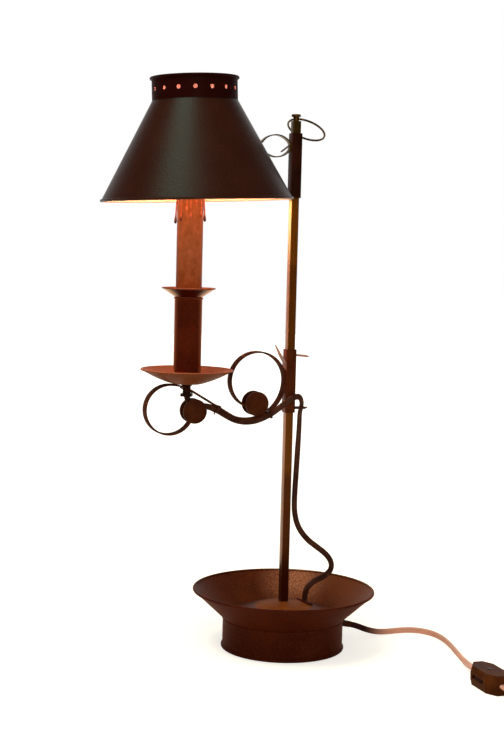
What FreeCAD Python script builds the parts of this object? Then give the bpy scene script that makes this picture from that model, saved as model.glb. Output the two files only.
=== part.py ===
import FreeCAD, Part

import math
import os

V = FreeCAD.Vector
UP = V(0, 0, 1)

# Square brass post
POST_SIDE = 9.525
POST_TOP = 641.5
POST_STUD_RADIUS = 4.0

# Foot drum and bowl, radii measured to the outer surface
TIN = 0.9
FOOT_RADIUS = 74.0
FOOT_HEIGHT = 37.5
FOOT_BEAD = 2.2
RIM_RADIUS = 110.6
RIM_HEIGHT = 71.6
RIM_WIRE = 1.5
FLOOR_DROP = 10.8
FLANGE_RADIUS = 35.0
FLANGE_SEAT = 1.5
FLANGE_HEIGHT = 51.2
FLANGE_RISE = 6.4
FLANGE_THICK = 1.0
FELT_THICK = 1.6

# Ballast under the bowl and what clamps it to the post
WEIGHT_RADIUS = 58.0
WEIGHT_THICK = 12.6
WEIGHT_BOTTOM = 7.2
WASHER_RADIUS = 9.0
WASHER_THICK = 1.2
NUT_FLATS = 13.0
NUT_THICK = 3.4
SPACER_RADIUS = 7.0

# Cord: a flat twin lead, drawn as a round tube of its mean size
CORD_WIDTH = 7.4
CORD_THICK = 3.7
CORD_RADIUS = (CORD_WIDTH + CORD_THICK) / 4
CORD_GAP = 0.15

# Cord plate on the bowl's floor
CORD_PLATE_LENGTH = 31.0
CORD_PLATE_WIDTH = 10.0
CORD_PLATE_THICK = 1.4
CORD_PLATE_X = 30.4
CORD_PLATE_Y = 4.8
CORD_PLATE_TILT = 16.0
CORD_PLATE_LIFT = 0.35

# Bushing in the drum's side, at this angle from +X
BUSH_ANGLE = 6.0
BUSH_HEIGHT = 24.4
BUSH_DROOP = 14.0
BUSH_FLANGE_RADIUS = 5.6
BUSH_FLANGE_THICK = 1.0
BUSH_NECK_RADIUS = 4.6
BUSH_TIP_RADIUS = 3.9
BUSH_LENGTH = 22.0

# Finial and carry ring
FINIAL_SHANK_RADIUS = 3.6
FINIAL_SHANK = 4.8
FINIAL_HEAD_RADIUS = 5.7
FINIAL_HEAD = 3.2
FINIAL_SPIGOT_RADIUS = 2.4
FINIAL_SPIGOT = 8.0
RING_RADIUS = 23.2
RING_WIRE = 1.25
RING_HOLE = 1.65
RING_AZIMUTH = 30.0
RING_DROOP = 29.0

# Sleeves that slide on the post
SLIDE_GAP = 0.2
SLEEVE_WALL = 1.35
SLEEVE_LENGTH = 77.0
ARM_BOTTOM = 291.0
SHADE_SLEEVE_BOTTOM = 550.0
LEAF_THICK = 0.8
LEAF_WIDTH = 12.0
TAB_LENGTH = 16.0
TAB_WIDTH = 8.0
TAB_ROLL = 12.0

# Scroll strip of the arm, arcs measured on the strip's middle line
STRIP_WIDTH = 12.7
STRIP_THICK = 1.6
SCROLL_HEIGHT = 39.0
INNER_CURL = 32.4
INNER_CURL_END = 265.0
RING_CURL = 34.7
SWEEP = 46.0
SHOULDER = 54.8
OUTER_CURL = 29.5
OUTER_CURL_END = 345.0
OUTER_CURL_PAST_CANDLE = 21.7
OUTER_CURL_TOP = 35.1
DISC_RADIUS = 14.7
DISC_THICK = 1.2
DISC_INSET = 6.0

# Candle, its cup and its dish
CANDLE_REACH = 130.3
DISH_RADIUS = 54.7
DISH_BOTTOM_RADIUS = 16.9
DISH_DEPTH = 16.4
DISH_BULGE = 1.6
DISH_WALL = 0.8
DISH_BEAD = 1.0
DISH_BOTTOM = 327.2
CUP_RADIUS = 16.3
CUP_WALL = 0.7
CUP_HEIGHT = 102.5
PAN_RADIUS = 31.5
PAN_RISE = 9.5
PAN_BEAD = 0.9
COVER_GAP = 0.25
COVER_WALL = 1.2
COVER_TOP = 562.0
DRIP_THICK = 1.1
DRIP_PROUD = 0.3
DRIP_BAND = 9.0
PIPE_RADIUS = 4.8
PIPE_WALL = 0.8
PIPE_BELOW = 8.0
PIPE_NUT_FLATS = 13.5
PIPE_NUT_THICK = 3.4
SEAT_WASHER_RADIUS = 8.2
SEAT_WASHER_HOLE = 6.3
SEAT_WASHER_THICK = 1.4

# Socket and bulb
SOCKET_RADIUS = 13.5
SOCKET_HEIGHT = 50.0
SHELL_RADIUS = 13.1
SHELL_WALL = 0.4
CAP_WALL = 0.5
CAP_HEIGHT = 20.0
BULB_RADIUS = 23.0
BULB_HEIGHT = 62.0
BULB_WALL = 0.9

# Shade, drawn along its own axis and then tilted
SHADE_WALL = 0.6
SHADE_BOTTOM_RADIUS = 111.9
SHADE_TOP_RADIUS = 49.9
SHADE_CONE = 114.0
SHADE_COLLAR = 25.8
SHADE_BEAD = 1.7
SHADE_TILT = 2.5
SHADE_BOTTOM = 544.4
SHADE_SEAT_GAP = 2.6
SHADE_LUG_WIDTH = 5.0
COLLAR_HOLES = 16
COLLAR_HOLE_RADIUS = 2.4
COLLAR_HOLE_HEIGHT = 12.6
COLLAR_HOLE_TURN = 5.4
CURL_WIDTH = 9.0
CURL_THICK = 1.3
CURL_LOW = 48.0
CURL_HIGH = 74.0

# Mains cord route on the floor, from the bushing to the switch
SWITCH_X = 164.3
SWITCH_Y = -224.4
SWITCH_TURN = -1.9
SWITCH_LENGTH = 62.0
SWITCH_WIDTH = 30.6
SWITCH_HEIGHT = 22.6
SWITCH_TAPER = 13.5
SWITCH_END = 13.8
SWITCH_BEVEL = 2.0
SWITCH_WALL = 2.2
SWITCH_GRIP = 8.0
WHEEL_RADIUS = 16.3
WHEEL_THICK = 3.6
WHEEL_SLOT = 27.0
WHEEL_TEETH = 36
SCREW_RADIUS = 1.6
SCREW_HEAD = 3.1
RUNNING_GAP = 0.05

# Coil of the length that is put away
COIL_RADIUS = 50.0
COIL_PITCH = 7.6
COIL_TURNS_IN = 2.5
COIL_RISE = 6.4
COIL_Y = -315.0

# Plug
PLUG_LENGTH = 32.0
PLUG_WIDTH = 22.0
PLUG_THICK = 14.0
BLADE_SPACING = 12.7
BLADE_LENGTH = 16.0
BLADE_WIDTH = 6.35
BLADE_THICK = 1.5

# Sizes that follow from the ones above
SLEEVE_HALF = POST_SIDE / 2 + SLIDE_GAP + SLEEVE_WALL
COVER_RADIUS = CUP_RADIUS - CUP_WALL - COVER_GAP
FLOOR_EDGE = FLANGE_HEIGHT - FLOOR_DROP
POST_FOOT = FLANGE_HEIGHT
RING_PIN = POST_TOP + FINIAL_SHANK / 2
CANDLE = V(-CANDLE_REACH, 0, 0)
OUTER_CURL_REACH = CANDLE_REACH + OUTER_CURL_PAST_CANDLE

parts = {}


def keep(name, shape):
    parts[name] = shape


def group(*shapes):
    return Part.makeCompound(list(shapes))


def cylinder(radius, height, base=V(0, 0, 0), axis=UP):
    return Part.makeCylinder(radius, height, base, axis)


def tube(radius, bore, height, base=V(0, 0, 0), axis=UP):
    return cylinder(radius, height, base, axis).cut(cylinder(bore, height, base, axis))


def box(x0, y0, z0, x1, y1, z1):
    return Part.makeBox(x1 - x0, y1 - y0, z1 - z0, V(x0, y0, z0))


def face_of(points):
    return Part.Face(Part.makePolygon(list(points) + [points[0]]))


def spun(points):
    """Solid turned about Z from (radius, height) corners."""
    face = face_of([V(r, 0, z) for r, z in points])
    return face.revolve(V(0, 0, 0), UP, 360)


def sheet_spun(line, wall):
    """Sheet metal turned about Z: an open line of (radius, height) points on the outer
    surface, with its thickness on the line's left."""
    inner = []
    last = len(line) - 1
    for i, (r, z) in enumerate(line):
        normals = []
        for a, b in ((i - 1, i), (i, i + 1)):
            if a < 0 or b > last:
                continue
            dr = line[b][0] - line[a][0]
            dz = line[b][1] - line[a][1]
            size = math.hypot(dr, dz)
            normals.append((-dz / size, dr / size))
        nr = sum(n[0] for n in normals)
        nz = sum(n[1] for n in normals)
        size = math.hypot(nr, nz)
        nr, nz = nr / size, nz / size
        mitre = wall / (nr * normals[0][0] + nz * normals[0][1])
        inner.append((r + nr * mitre, z + nz * mitre))
    return spun(list(line) + inner[::-1])


def bead(ring, height, radius):
    """Rolled edge: a round wire bent to a circle about Z."""
    return Part.makeTorus(ring, radius, V(0, 0, height), UP)


def hex_nut(flats, thick, bore, base, axis=UP):
    corner = flats / math.sqrt(3)
    points = []
    for k in range(6):
        angle = math.radians(60 * k)
        points.append(V(corner * math.cos(angle), corner * math.sin(angle), 0))
    body = face_of(points).extrude(V(0, 0, thick)).cut(cylinder(bore, thick))
    body.Placement = FreeCAD.Placement(base, FreeCAD.Rotation(UP, axis))
    return body


def rounded_route(points):
    """Wire of straight runs joined by tangent arcs, and the arcs' radii."""
    edges = []
    radii = []
    here = points[0]
    for i in range(1, len(points) - 1):
        before = points[i - 1] - points[i]
        after = points[i + 1] - points[i]
        turn = math.pi - before.getAngle(after)
        cut = 0.45 * min(before.Length, after.Length)
        radius = cut / math.tan(turn / 2)
        start = points[i] + V(before).normalize() * cut
        end = points[i] + V(after).normalize() * cut
        inward = (V(before).normalize() + V(after).normalize()).normalize()
        middle = points[i] + inward * (radius / math.cos(turn / 2) - radius)
        edges.append(Part.LineSegment(here, start).toShape())
        edges.append(Part.Arc(start, middle, end).toShape())
        radii.append(radius)
        here = end
    edges.append(Part.LineSegment(here, points[-1]).toShape())
    return Part.Wire(edges), radii


def swept(wire, radius):
    first = wire.Edges[0]
    start = first.valueAt(first.FirstParameter)
    heading = first.tangentAt(first.FirstParameter)
    ring = Part.Wire([Part.makeCircle(radius, start, heading)])
    return wire.makePipeShell([ring], True, False)


def cord(name, points, radius=CORD_RADIUS):
    wire, radii = rounded_route(points)
    solid = swept(wire, radius)
    share = solid.Volume / (math.pi * radius ** 2 * wire.Length)
    print(name, "length", round(wire.Length, 1), "tightest radius", round(min(radii), 1),
          "volume over section times length", round(share, 4))
    return solid


def arc_points(centre, radius, start, end):
    """Start, middle and end of an arc in the XZ plane, angles from +X towards +Z."""
    found = []
    for angle in (start, (start + end) / 2, end):
        a = math.radians(angle)
        found.append(V(centre[0] + radius * math.cos(a), 0, centre[1] + radius * math.sin(a)))
    return found


def bent_strip(arcs, thick, width):
    """Flat strip on edge: arcs of (centre, radius, start, end) in the XZ plane, joined by
    straight runs where they don't meet, thick across the line and width along Y."""
    sides = []
    for side in (1, -1):
        edges = []
        last = None
        for centre, radius, start, end in arcs:
            outward = side if end < start else -side
            a, m, b = arc_points(centre, radius + outward * thick / 2, start, end)
            if last is not None and a.distanceToPoint(last) > 1e-4:
                edges.append(Part.LineSegment(last, a).toShape())
            edges.append(Part.Arc(a, m, b).toShape())
            last = b
        sides.append(edges)
    first, second = sides
    caps = []
    for end_edge, other in ((first[0], second[0]), (first[-1], second[-1])):
        near = 0 if end_edge is first[0] else -1
        caps.append(Part.LineSegment(end_edge.Vertexes[near].Point,
                                     other.Vertexes[near].Point).toShape())
    loop = Part.Wire(Part.__sortEdges__(first + second + caps))
    strip = Part.Face(loop).extrude(V(0, width, 0))
    strip.translate(V(0, -width / 2, 0))
    return strip


def post_hole(depth, bottom, gap=0.1):
    half = POST_SIDE / 2 + gap
    return box(-half, -half, bottom, half, half, bottom + depth)


# Standing part

def flange_height(radius):
    return FLANGE_HEIGHT + FLANGE_RISE * (1 - (radius / FLANGE_RADIUS) ** 2)


def make_base():
    slope = (RIM_HEIGHT - FOOT_HEIGHT) / (RIM_RADIUS - FOOT_RADIUS)
    flare = [(FOOT_RADIUS, FOOT_HEIGHT), (RIM_RADIUS, RIM_HEIGHT)]
    shell = sheet_spun(flare, TIN)
    rim = bead(RIM_RADIUS - TIN / 2, RIM_HEIGHT, RIM_WIRE)
    inner_edge = FOOT_RADIUS - TIN * 0.5 + (FLOOR_EDGE - FOOT_HEIGHT) / slope
    floor = sheet_spun([(0.01, FLANGE_HEIGHT - TIN), (FLANGE_RADIUS + FLANGE_SEAT, FLANGE_HEIGHT - TIN),
                        (inner_edge, FLOOR_EDGE - TIN)], TIN)
    bowl = shell.fuse([rim, floor]).removeSplitter()
    bowl = bowl.cut(cylinder(POST_STUD_RADIUS + 0.2, RIM_HEIGHT))
    bowl = bowl.cut(cord_hole())
    keep("base_bowl", bowl)

    lip = TIN * 4
    wall = sheet_spun([(FOOT_RADIUS, FOOT_BEAD), (FOOT_RADIUS, FOOT_HEIGHT - TIN),
                       (FOOT_RADIUS - lip, FOOT_HEIGHT - TIN)], TIN)
    foot = wall.fuse(bead(FOOT_RADIUS - TIN / 2, FOOT_BEAD, FOOT_BEAD)).removeSplitter()
    foot = foot.cut(cylinder(BUSH_NECK_RADIUS + 0.05, FOOT_RADIUS, V(0, 0, BUSH_HEIGHT), bush_axis()))
    keep("foot_drum", foot)
    keep("felt_pad", cylinder(FOOT_RADIUS - TIN / 2 - FOOT_BEAD - 0.3, FELT_THICK))


def cord_hole():
    return cylinder(CORD_RADIUS + CORD_GAP, 40, V(CORD_PLATE_X, CORD_PLATE_Y, FLOOR_EDGE - 6))


def make_post():
    half = POST_SIDE / 2
    bar = box(-half, -half, POST_FOOT, half, half, POST_TOP)
    bar = bar.cut(cylinder(FINIAL_SPIGOT_RADIUS, FINIAL_SPIGOT, V(0, 0, POST_TOP - FINIAL_SPIGOT)))
    stud = cylinder(POST_STUD_RADIUS, POST_FOOT - FELT_THICK - 0.6, V(0, 0, FELT_THICK + 0.6))
    keep("post", bar.fuse(stud))

    radius = (FLANGE_RADIUS ** 2 + FLANGE_RISE ** 2) / (2 * FLANGE_RISE)
    outer = Part.makeSphere(radius, V(0, 0, FLANGE_HEIGHT + FLANGE_RISE - radius))
    inner = Part.makeSphere(radius - FLANGE_THICK, V(0, 0, FLANGE_HEIGHT + FLANGE_RISE - radius))
    slab = cylinder(FLANGE_RADIUS + 1, FLANGE_RISE + FLANGE_THICK, V(0, 0, FLANGE_HEIGHT))
    dome = outer.cut(inner).common(slab)
    dome = dome.cut(post_hole(FLANGE_RISE * 2, FLANGE_HEIGHT)).cut(cord_hole())
    keep("post_flange", dome)

    keep("clamp_spacer", tube(SPACER_RADIUS, POST_STUD_RADIUS + 0.1,
                              FLANGE_HEIGHT - TIN - WEIGHT_BOTTOM - WEIGHT_THICK,
                              V(0, 0, WEIGHT_BOTTOM + WEIGHT_THICK)))
    weight = tube(WEIGHT_RADIUS, POST_STUD_RADIUS + 0.1, WEIGHT_THICK, V(0, 0, WEIGHT_BOTTOM))
    outer_edges = [e for e in weight.Edges if e.BoundBox.XLength > 1.5 * WEIGHT_RADIUS]
    keep("base_weight", weight.makeChamfer(1.2, outer_edges))
    washer_z = WEIGHT_BOTTOM - WASHER_THICK
    keep("clamp_washer", tube(WASHER_RADIUS, POST_STUD_RADIUS + 0.1, WASHER_THICK, V(0, 0, washer_z)))
    keep("clamp_nut", hex_nut(NUT_FLATS, NUT_THICK, POST_STUD_RADIUS, V(0, 0, washer_z - NUT_THICK)))


def make_cord_plate():
    half = (CORD_PLATE_LENGTH - CORD_PLATE_WIDTH) / 2
    plate = box(-CORD_PLATE_WIDTH / 2, -half, 0, CORD_PLATE_WIDTH / 2, half, CORD_PLATE_THICK)
    for end in (-half, half):
        plate = plate.fuse(cylinder(CORD_PLATE_WIDTH / 2, CORD_PLATE_THICK, V(0, end, 0)))
    plate = plate.removeSplitter()
    reach = math.hypot(CORD_PLATE_X, CORD_PLATE_Y)
    turn = math.degrees(math.atan2(CORD_PLATE_Y, CORD_PLATE_X))
    spin = FreeCAD.Rotation(UP, turn).multiply(FreeCAD.Rotation(V(0, 1, 0), CORD_PLATE_TILT))
    seat = V(CORD_PLATE_X, CORD_PLATE_Y, flange_height(reach) + CORD_PLATE_LIFT)
    plate.Placement = FreeCAD.Placement(seat, spin)
    keep("cord_plate", plate.cut(cord_hole()))


def bush_axis():
    a = math.radians(BUSH_ANGLE)
    return V(math.cos(a), math.sin(a), 0)


def bush_seat():
    return bush_axis() * FOOT_RADIUS + V(0, 0, BUSH_HEIGHT)


def bush_way():
    d = math.radians(BUSH_DROOP)
    return bush_axis() * math.cos(d) - V(0, 0, math.sin(d))


def make_bushing():
    axis = bush_axis()
    seat = bush_seat()
    way = bush_way()
    inside = seat - axis * (4 * TIN)
    body = cylinder(BUSH_NECK_RADIUS, 4 * TIN + 1, inside, axis)
    body = body.fuse(cylinder(BUSH_FLANGE_RADIUS, BUSH_FLANGE_THICK, seat + axis * 0.1, axis))
    body = body.fuse(Part.makeCone(BUSH_NECK_RADIUS - 0.2, BUSH_TIP_RADIUS, BUSH_LENGTH - 0.6,
                                   seat + way * 0.6, way))
    bore = CORD_RADIUS + 2 * CORD_GAP
    body = body.cut(cylinder(bore + 0.25, 4 * TIN + 2.8, inside - axis * 2, axis))
    body = body.cut(cylinder(bore, BUSH_LENGTH + 2, seat, way))
    keep("side_bushing", body.removeSplitter())


# Cords, the points chosen along the real lead

def inner_cord_route():
    seat = bush_seat()
    top = V(CORD_PLATE_X, CORD_PLATE_Y, FLANGE_HEIGHT + 4)
    return [top, V(CORD_PLATE_X, CORD_PLATE_Y, FLANGE_HEIGHT - 12),
            V(CORD_PLATE_X + 6, CORD_PLATE_Y + 0.4, BUSH_HEIGHT + 5.2),
            V(CORD_PLATE_X + 17, CORD_PLATE_Y + 1.0, BUSH_HEIGHT + 1.8),
            seat - bush_axis() * 12, seat, seat + bush_way() * BUSH_LENGTH]


def mains_routes():
    start = bush_seat() + bush_way() * BUSH_LENGTH
    low = CORD_RADIUS + 0.05
    mid = SWITCH_HEIGHT / 2
    half = SWITCH_LENGTH / 2
    to_switch = [start, start + bush_way() * 8, V(113, 12.0, 12.4), V(124, 13.8, 7.8),
                 V(137, 16.6, 4.2), V(153, 19.4, low), V(171, 21.8, low),
                 V(190, 18.4, low), V(203.5, 1.5, low), V(206.5, -23, low), V(202.5, -52, low),
                 V(194.5, -84, low), V(185, -120, 3.6), V(176.5, -148, 6.4), V(170, -169, 9.6),
                 switch_point(V(0, half + 9, mid)),
                 switch_point(V(0, half - SWITCH_GRIP, mid))]
    left = switch_point(V(0, -half, mid)).x - 0.6
    to_coil = [switch_point(V(0, SWITCH_GRIP - half, mid)), switch_point(V(0, -half - 7, mid)),
               V(left - 0.2, -278, 8.0), V(left - 0.2, -291, 4.2),
               V(left, COIL_Y + 12, low), V(left, COIL_Y + 2 * CORD_RADIUS, low)]
    right = left + 2 * COIL_RADIUS
    high = low + COIL_RISE
    to_plug = [V(right, COIL_Y + 2 * CORD_RADIUS, high), V(right, COIL_Y + 14, high),
               V(right + 0.5, COIL_Y + 28, 6.6), V(right + 1.3, COIL_Y + 43, 4.6),
               V(right + 2, COIL_Y + 58, PLUG_THICK / 2), V(right + 2, COIL_Y + 69, PLUG_THICK / 2)]
    return to_switch, to_coil, to_plug


def coil_state(turns):
    """Point and heading on the coil after so many turns, and its centre line's radius."""
    inward = min(turns, COIL_TURNS_IN)
    outward = max(0.0, turns - COIL_TURNS_IN - 0.5)
    radius = COIL_RADIUS - COIL_PITCH * (inward - outward)
    climb = min(max((turns - COIL_TURNS_IN) * 2, 0.0), 1.0)
    height = CORD_RADIUS + 0.05 + COIL_RISE * climb * climb * (3 - 2 * climb)
    slope = COIL_RISE * 6 * climb * (1 - climb) / math.pi
    angle = math.pi + 2 * math.pi * turns
    centre_x = mains_routes()[1][-1].x + COIL_RADIUS
    point = V(centre_x + radius * math.cos(angle), COIL_Y + radius * math.sin(angle), height)
    at_end = turns <= 0 or turns >= 2 * COIL_TURNS_IN + 0.5
    turning = abs(turns - COIL_TURNS_IN - 0.25) < 0.3 or at_end
    drift = 0.0
    if not turning:
        drift = -COIL_PITCH if turns < COIL_TURNS_IN else COIL_PITCH
    drift = drift / (2 * math.pi)
    heading = V(-radius * math.sin(angle) + drift * math.cos(angle),
                radius * math.cos(angle) + drift * math.sin(angle), slope)
    return point, heading.normalize()


def biarc(p0, t0, p1, t1):
    """Two tangent arcs from one point and heading to another."""
    v = p1 - p0
    t = t0 + t1
    a = 2 * (1 - t0.dot(t1))
    b = 2 * v.dot(t)
    c = v.dot(v)
    if a < 1e-9:
        d = c / b
    else:
        d = (-b + math.sqrt(b * b + 4 * a * c)) / (2 * a)
    q0 = p0 + t0 * d
    q1 = p1 - t1 * d
    joint = (q0 + q1) * 0.5
    edges = []
    for start, heading, corner, end in ((p0, t0, q0, joint), (joint, None, q1, p1)):
        chord = end - start
        way = V(heading) if heading is not None else (q1 - q0).normalize()
        turn = way.getAngle(chord)
        bow = (corner - (start + end) * 0.5).normalize()
        middle = (start + end) * 0.5 + bow * (chord.Length / 2 * math.tan(turn / 2))
        edges.append(Part.Arc(start, middle, end).toShape())
    return edges


def make_coil():
    quarters = int(round((2 * COIL_TURNS_IN + 0.5) * 4))
    states = [coil_state(k / 4) for k in range(quarters + 1)]
    lead_in = states[0][0] + V(0, 2 * CORD_RADIUS, 0)
    lead_out = states[-1][0] + V(0, 2 * CORD_RADIUS, 0)
    edges = [Part.LineSegment(lead_in, states[0][0]).toShape()]
    for (p0, t0), (p1, t1) in zip(states, states[1:]):
        edges += biarc(p0, t0, p1, t1)
    edges.append(Part.LineSegment(states[-1][0], lead_out).toShape())
    wire = Part.Wire(edges)
    solid = swept(wire, CORD_RADIUS)
    share = solid.Volume / (math.pi * CORD_RADIUS ** 2 * wire.Length)
    samples = wire.discretize(Number=600)
    step = wire.Length / 599
    near = 1e9
    for i, p in enumerate(samples):
        for j in range(i + int(40 / step), len(samples)):
            near = min(near, p.distanceToPoint(samples[j]))
    print("cord_coil length", round(wire.Length, 1), "gap to itself", round(near - 2 * CORD_RADIUS, 2),
          "volume over section times length", round(share, 4))
    keep("cord_coil", solid)


def scroll():
    """Arcs of the arm's strip, from the curl by the post to the curl under the dish."""
    height = ARM_BOTTOM + SCROLL_HEIGHT
    right = -(SLEEVE_HALF + STRIP_THICK / 2)
    ring = (right - RING_CURL, height)
    inner = (right - 2 * RING_CURL + INNER_CURL, height)
    sweep = (right - SWEEP, height)
    top = ARM_BOTTOM + OUTER_CURL_TOP
    shoulder = (-OUTER_CURL_REACH, top - SHOULDER)
    outer = (-OUTER_CURL_REACH, top - OUTER_CURL)
    dx = shoulder[0] - sweep[0]
    dz = shoulder[1] - sweep[1]
    lean = math.degrees(math.atan2(dz, dx)) % 360
    leave = lean + math.degrees(math.acos((SWEEP + SHOULDER) / math.hypot(dx, dz)))
    return [(inner, INNER_CURL, INNER_CURL_END, 180), (ring, RING_CURL, 180, 0),
            (sweep, SWEEP, 0, leave - 360), (shoulder, SHOULDER, leave - 180, 90),
            (outer, OUTER_CURL, 90, OUTER_CURL_END)]


def strip_top_at_candle():
    centre, radius = scroll()[3][:2]
    off = -CANDLE_REACH - centre[0]
    return centre[1] + math.sqrt(radius ** 2 - off ** 2), math.degrees(math.asin(off / radius))


def strip_surface(x):
    centre, radius = scroll()[3][:2]
    return centre[1] + math.sqrt((radius + STRIP_THICK / 2) ** 2 - (x - centre[0]) ** 2)


def disc_centre(end):
    """Centre of the disc pair over one end of the strip, inside the curl's end."""
    centre, radius, start, finish = scroll()[0] if end == 0 else scroll()[-1]
    angle = math.radians(start if end == 0 else finish)
    tip = V(centre[0] + radius * math.cos(angle), 0, centre[1] + radius * math.sin(angle))
    way = V(0.75, 0, 1) if end == 0 else V(0.35, 0, 1)
    return tip + way.normalize() * DISC_INSET


def arm_cord_route():
    sweep = scroll()[2]
    centre, radius, leave = sweep[0], sweep[1], sweep[3]
    under = STRIP_THICK / 2 + CORD_RADIUS + 0.2
    pipe_end = strip_top_at_candle()[0] - PIPE_BELOW
    route = [V(-CANDLE_REACH, 0, pipe_end + 4), V(-CANDLE_REACH, 0, pipe_end - 1.8),
             V(-CANDLE_REACH + 2.5, 0, pipe_end - 8.3), V(-CANDLE_REACH + 7.9, 0, pipe_end - 12.4),
             V(-CANDLE_REACH + 15.1, 0, pipe_end - 13.7)]
    a = math.radians(leave)
    tangent = V(math.sin(a), 0, -math.cos(a))
    reach = math.hypot(scroll()[3][0][0] - centre[0], scroll()[3][0][1] - centre[1])
    straight = math.sqrt(reach ** 2 - (radius + SHOULDER) ** 2)
    foot = V(centre[0] + (radius + under) * math.cos(a), 0, centre[1] + (radius + under) * math.sin(a))
    route.append(foot + tangent * (0.4 * straight))
    step = 8.0
    for k, y in enumerate((0, 0, 0, 0, -4.9)):
        b = math.radians(leave + step * (2 * k + 1))
        bow = (radius + under) / math.cos(math.radians(step))
        route.append(V(centre[0] + bow * math.cos(b), y, centre[1] + bow * math.sin(b)))
    front = -(SLEEVE_HALF + CORD_RADIUS + 0.4)
    z = ARM_BOTTOM
    route += [V(-7.5, front, z + 12.6), V(2.5, front - 0.6, z + 19.4), V(10.4, front + 0.6, z + 20.4),
              V(15.2, front + 3.6, z + 14.0), V(15.0, -4.6, z + 6.0), V(13.6, -3.4, z - 0.5),
              V(13.6, -3.4, z - 7.0)]
    return route


def hanging_cord_route():
    start = arm_cord_route()[-1]
    z = ARM_BOTTOM
    down = FLANGE_HEIGHT + 4
    return [start, V(13.6, -3.4, z - 15), V(13.0, -2.6, z - 38), V(11.9, -1.6, z - 74),
            V(10.9, -0.8, z - 104), V(11.6, 0, z - 124), V(16.8, 0.6, z - 142), V(29.0, 1.0, z - 158),
            V(44.0, 1.6, z - 169), V(57.4, 2.2, z - 179), V(65.0, 2.8, z - 190), V(64.0, 3.2, z - 200.6),
            V(53.6, 3.7, z - 207.6), V(41.5, 4.2, z - 212.4), V(33.6, 4.6, z - 219.6),
            V(CORD_PLATE_X, CORD_PLATE_Y, z - 228.0), V(CORD_PLATE_X, CORD_PLATE_Y, down)]


def make_cords():
    keep("inner_cord", cord("inner_cord", inner_cord_route()))
    to_switch, to_coil, to_plug = mains_routes()
    keep("mains_cord", group(cord("mains to switch", to_switch), cord("mains to coil", to_coil),
                             cord("mains to plug", to_plug)))
    make_coil()
    keep("arm_cord", cord("arm_cord", arm_cord_route()))
    keep("hanging_cord", cord("hanging_cord", hanging_cord_route()))


# Switch and plug on the mains cord

def switch_point(local):
    spin = FreeCAD.Rotation(UP, SWITCH_TURN)
    return spin.multVec(local) + V(SWITCH_X, SWITCH_Y, 0)


def placed_switch(shape):
    shape.Placement = FreeCAD.Placement(V(SWITCH_X, SWITCH_Y, 0), FreeCAD.Rotation(UP, SWITCH_TURN))
    return shape


def switch_plan(inset, height):
    half = SWITCH_LENGTH / 2 - inset * 0.4
    side = SWITCH_WIDTH / 2 - inset
    end = SWITCH_END / 2 - inset * 0.6
    knee = SWITCH_LENGTH / 2 - SWITCH_TAPER
    corners = [(end, half), (side, knee), (side, -knee), (end, -half),
               (-end, -half), (-side, -knee), (-side, knee), (-end, half)]
    return Part.makePolygon([V(x, y, height) for x, y in corners + corners[:1]])


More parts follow.
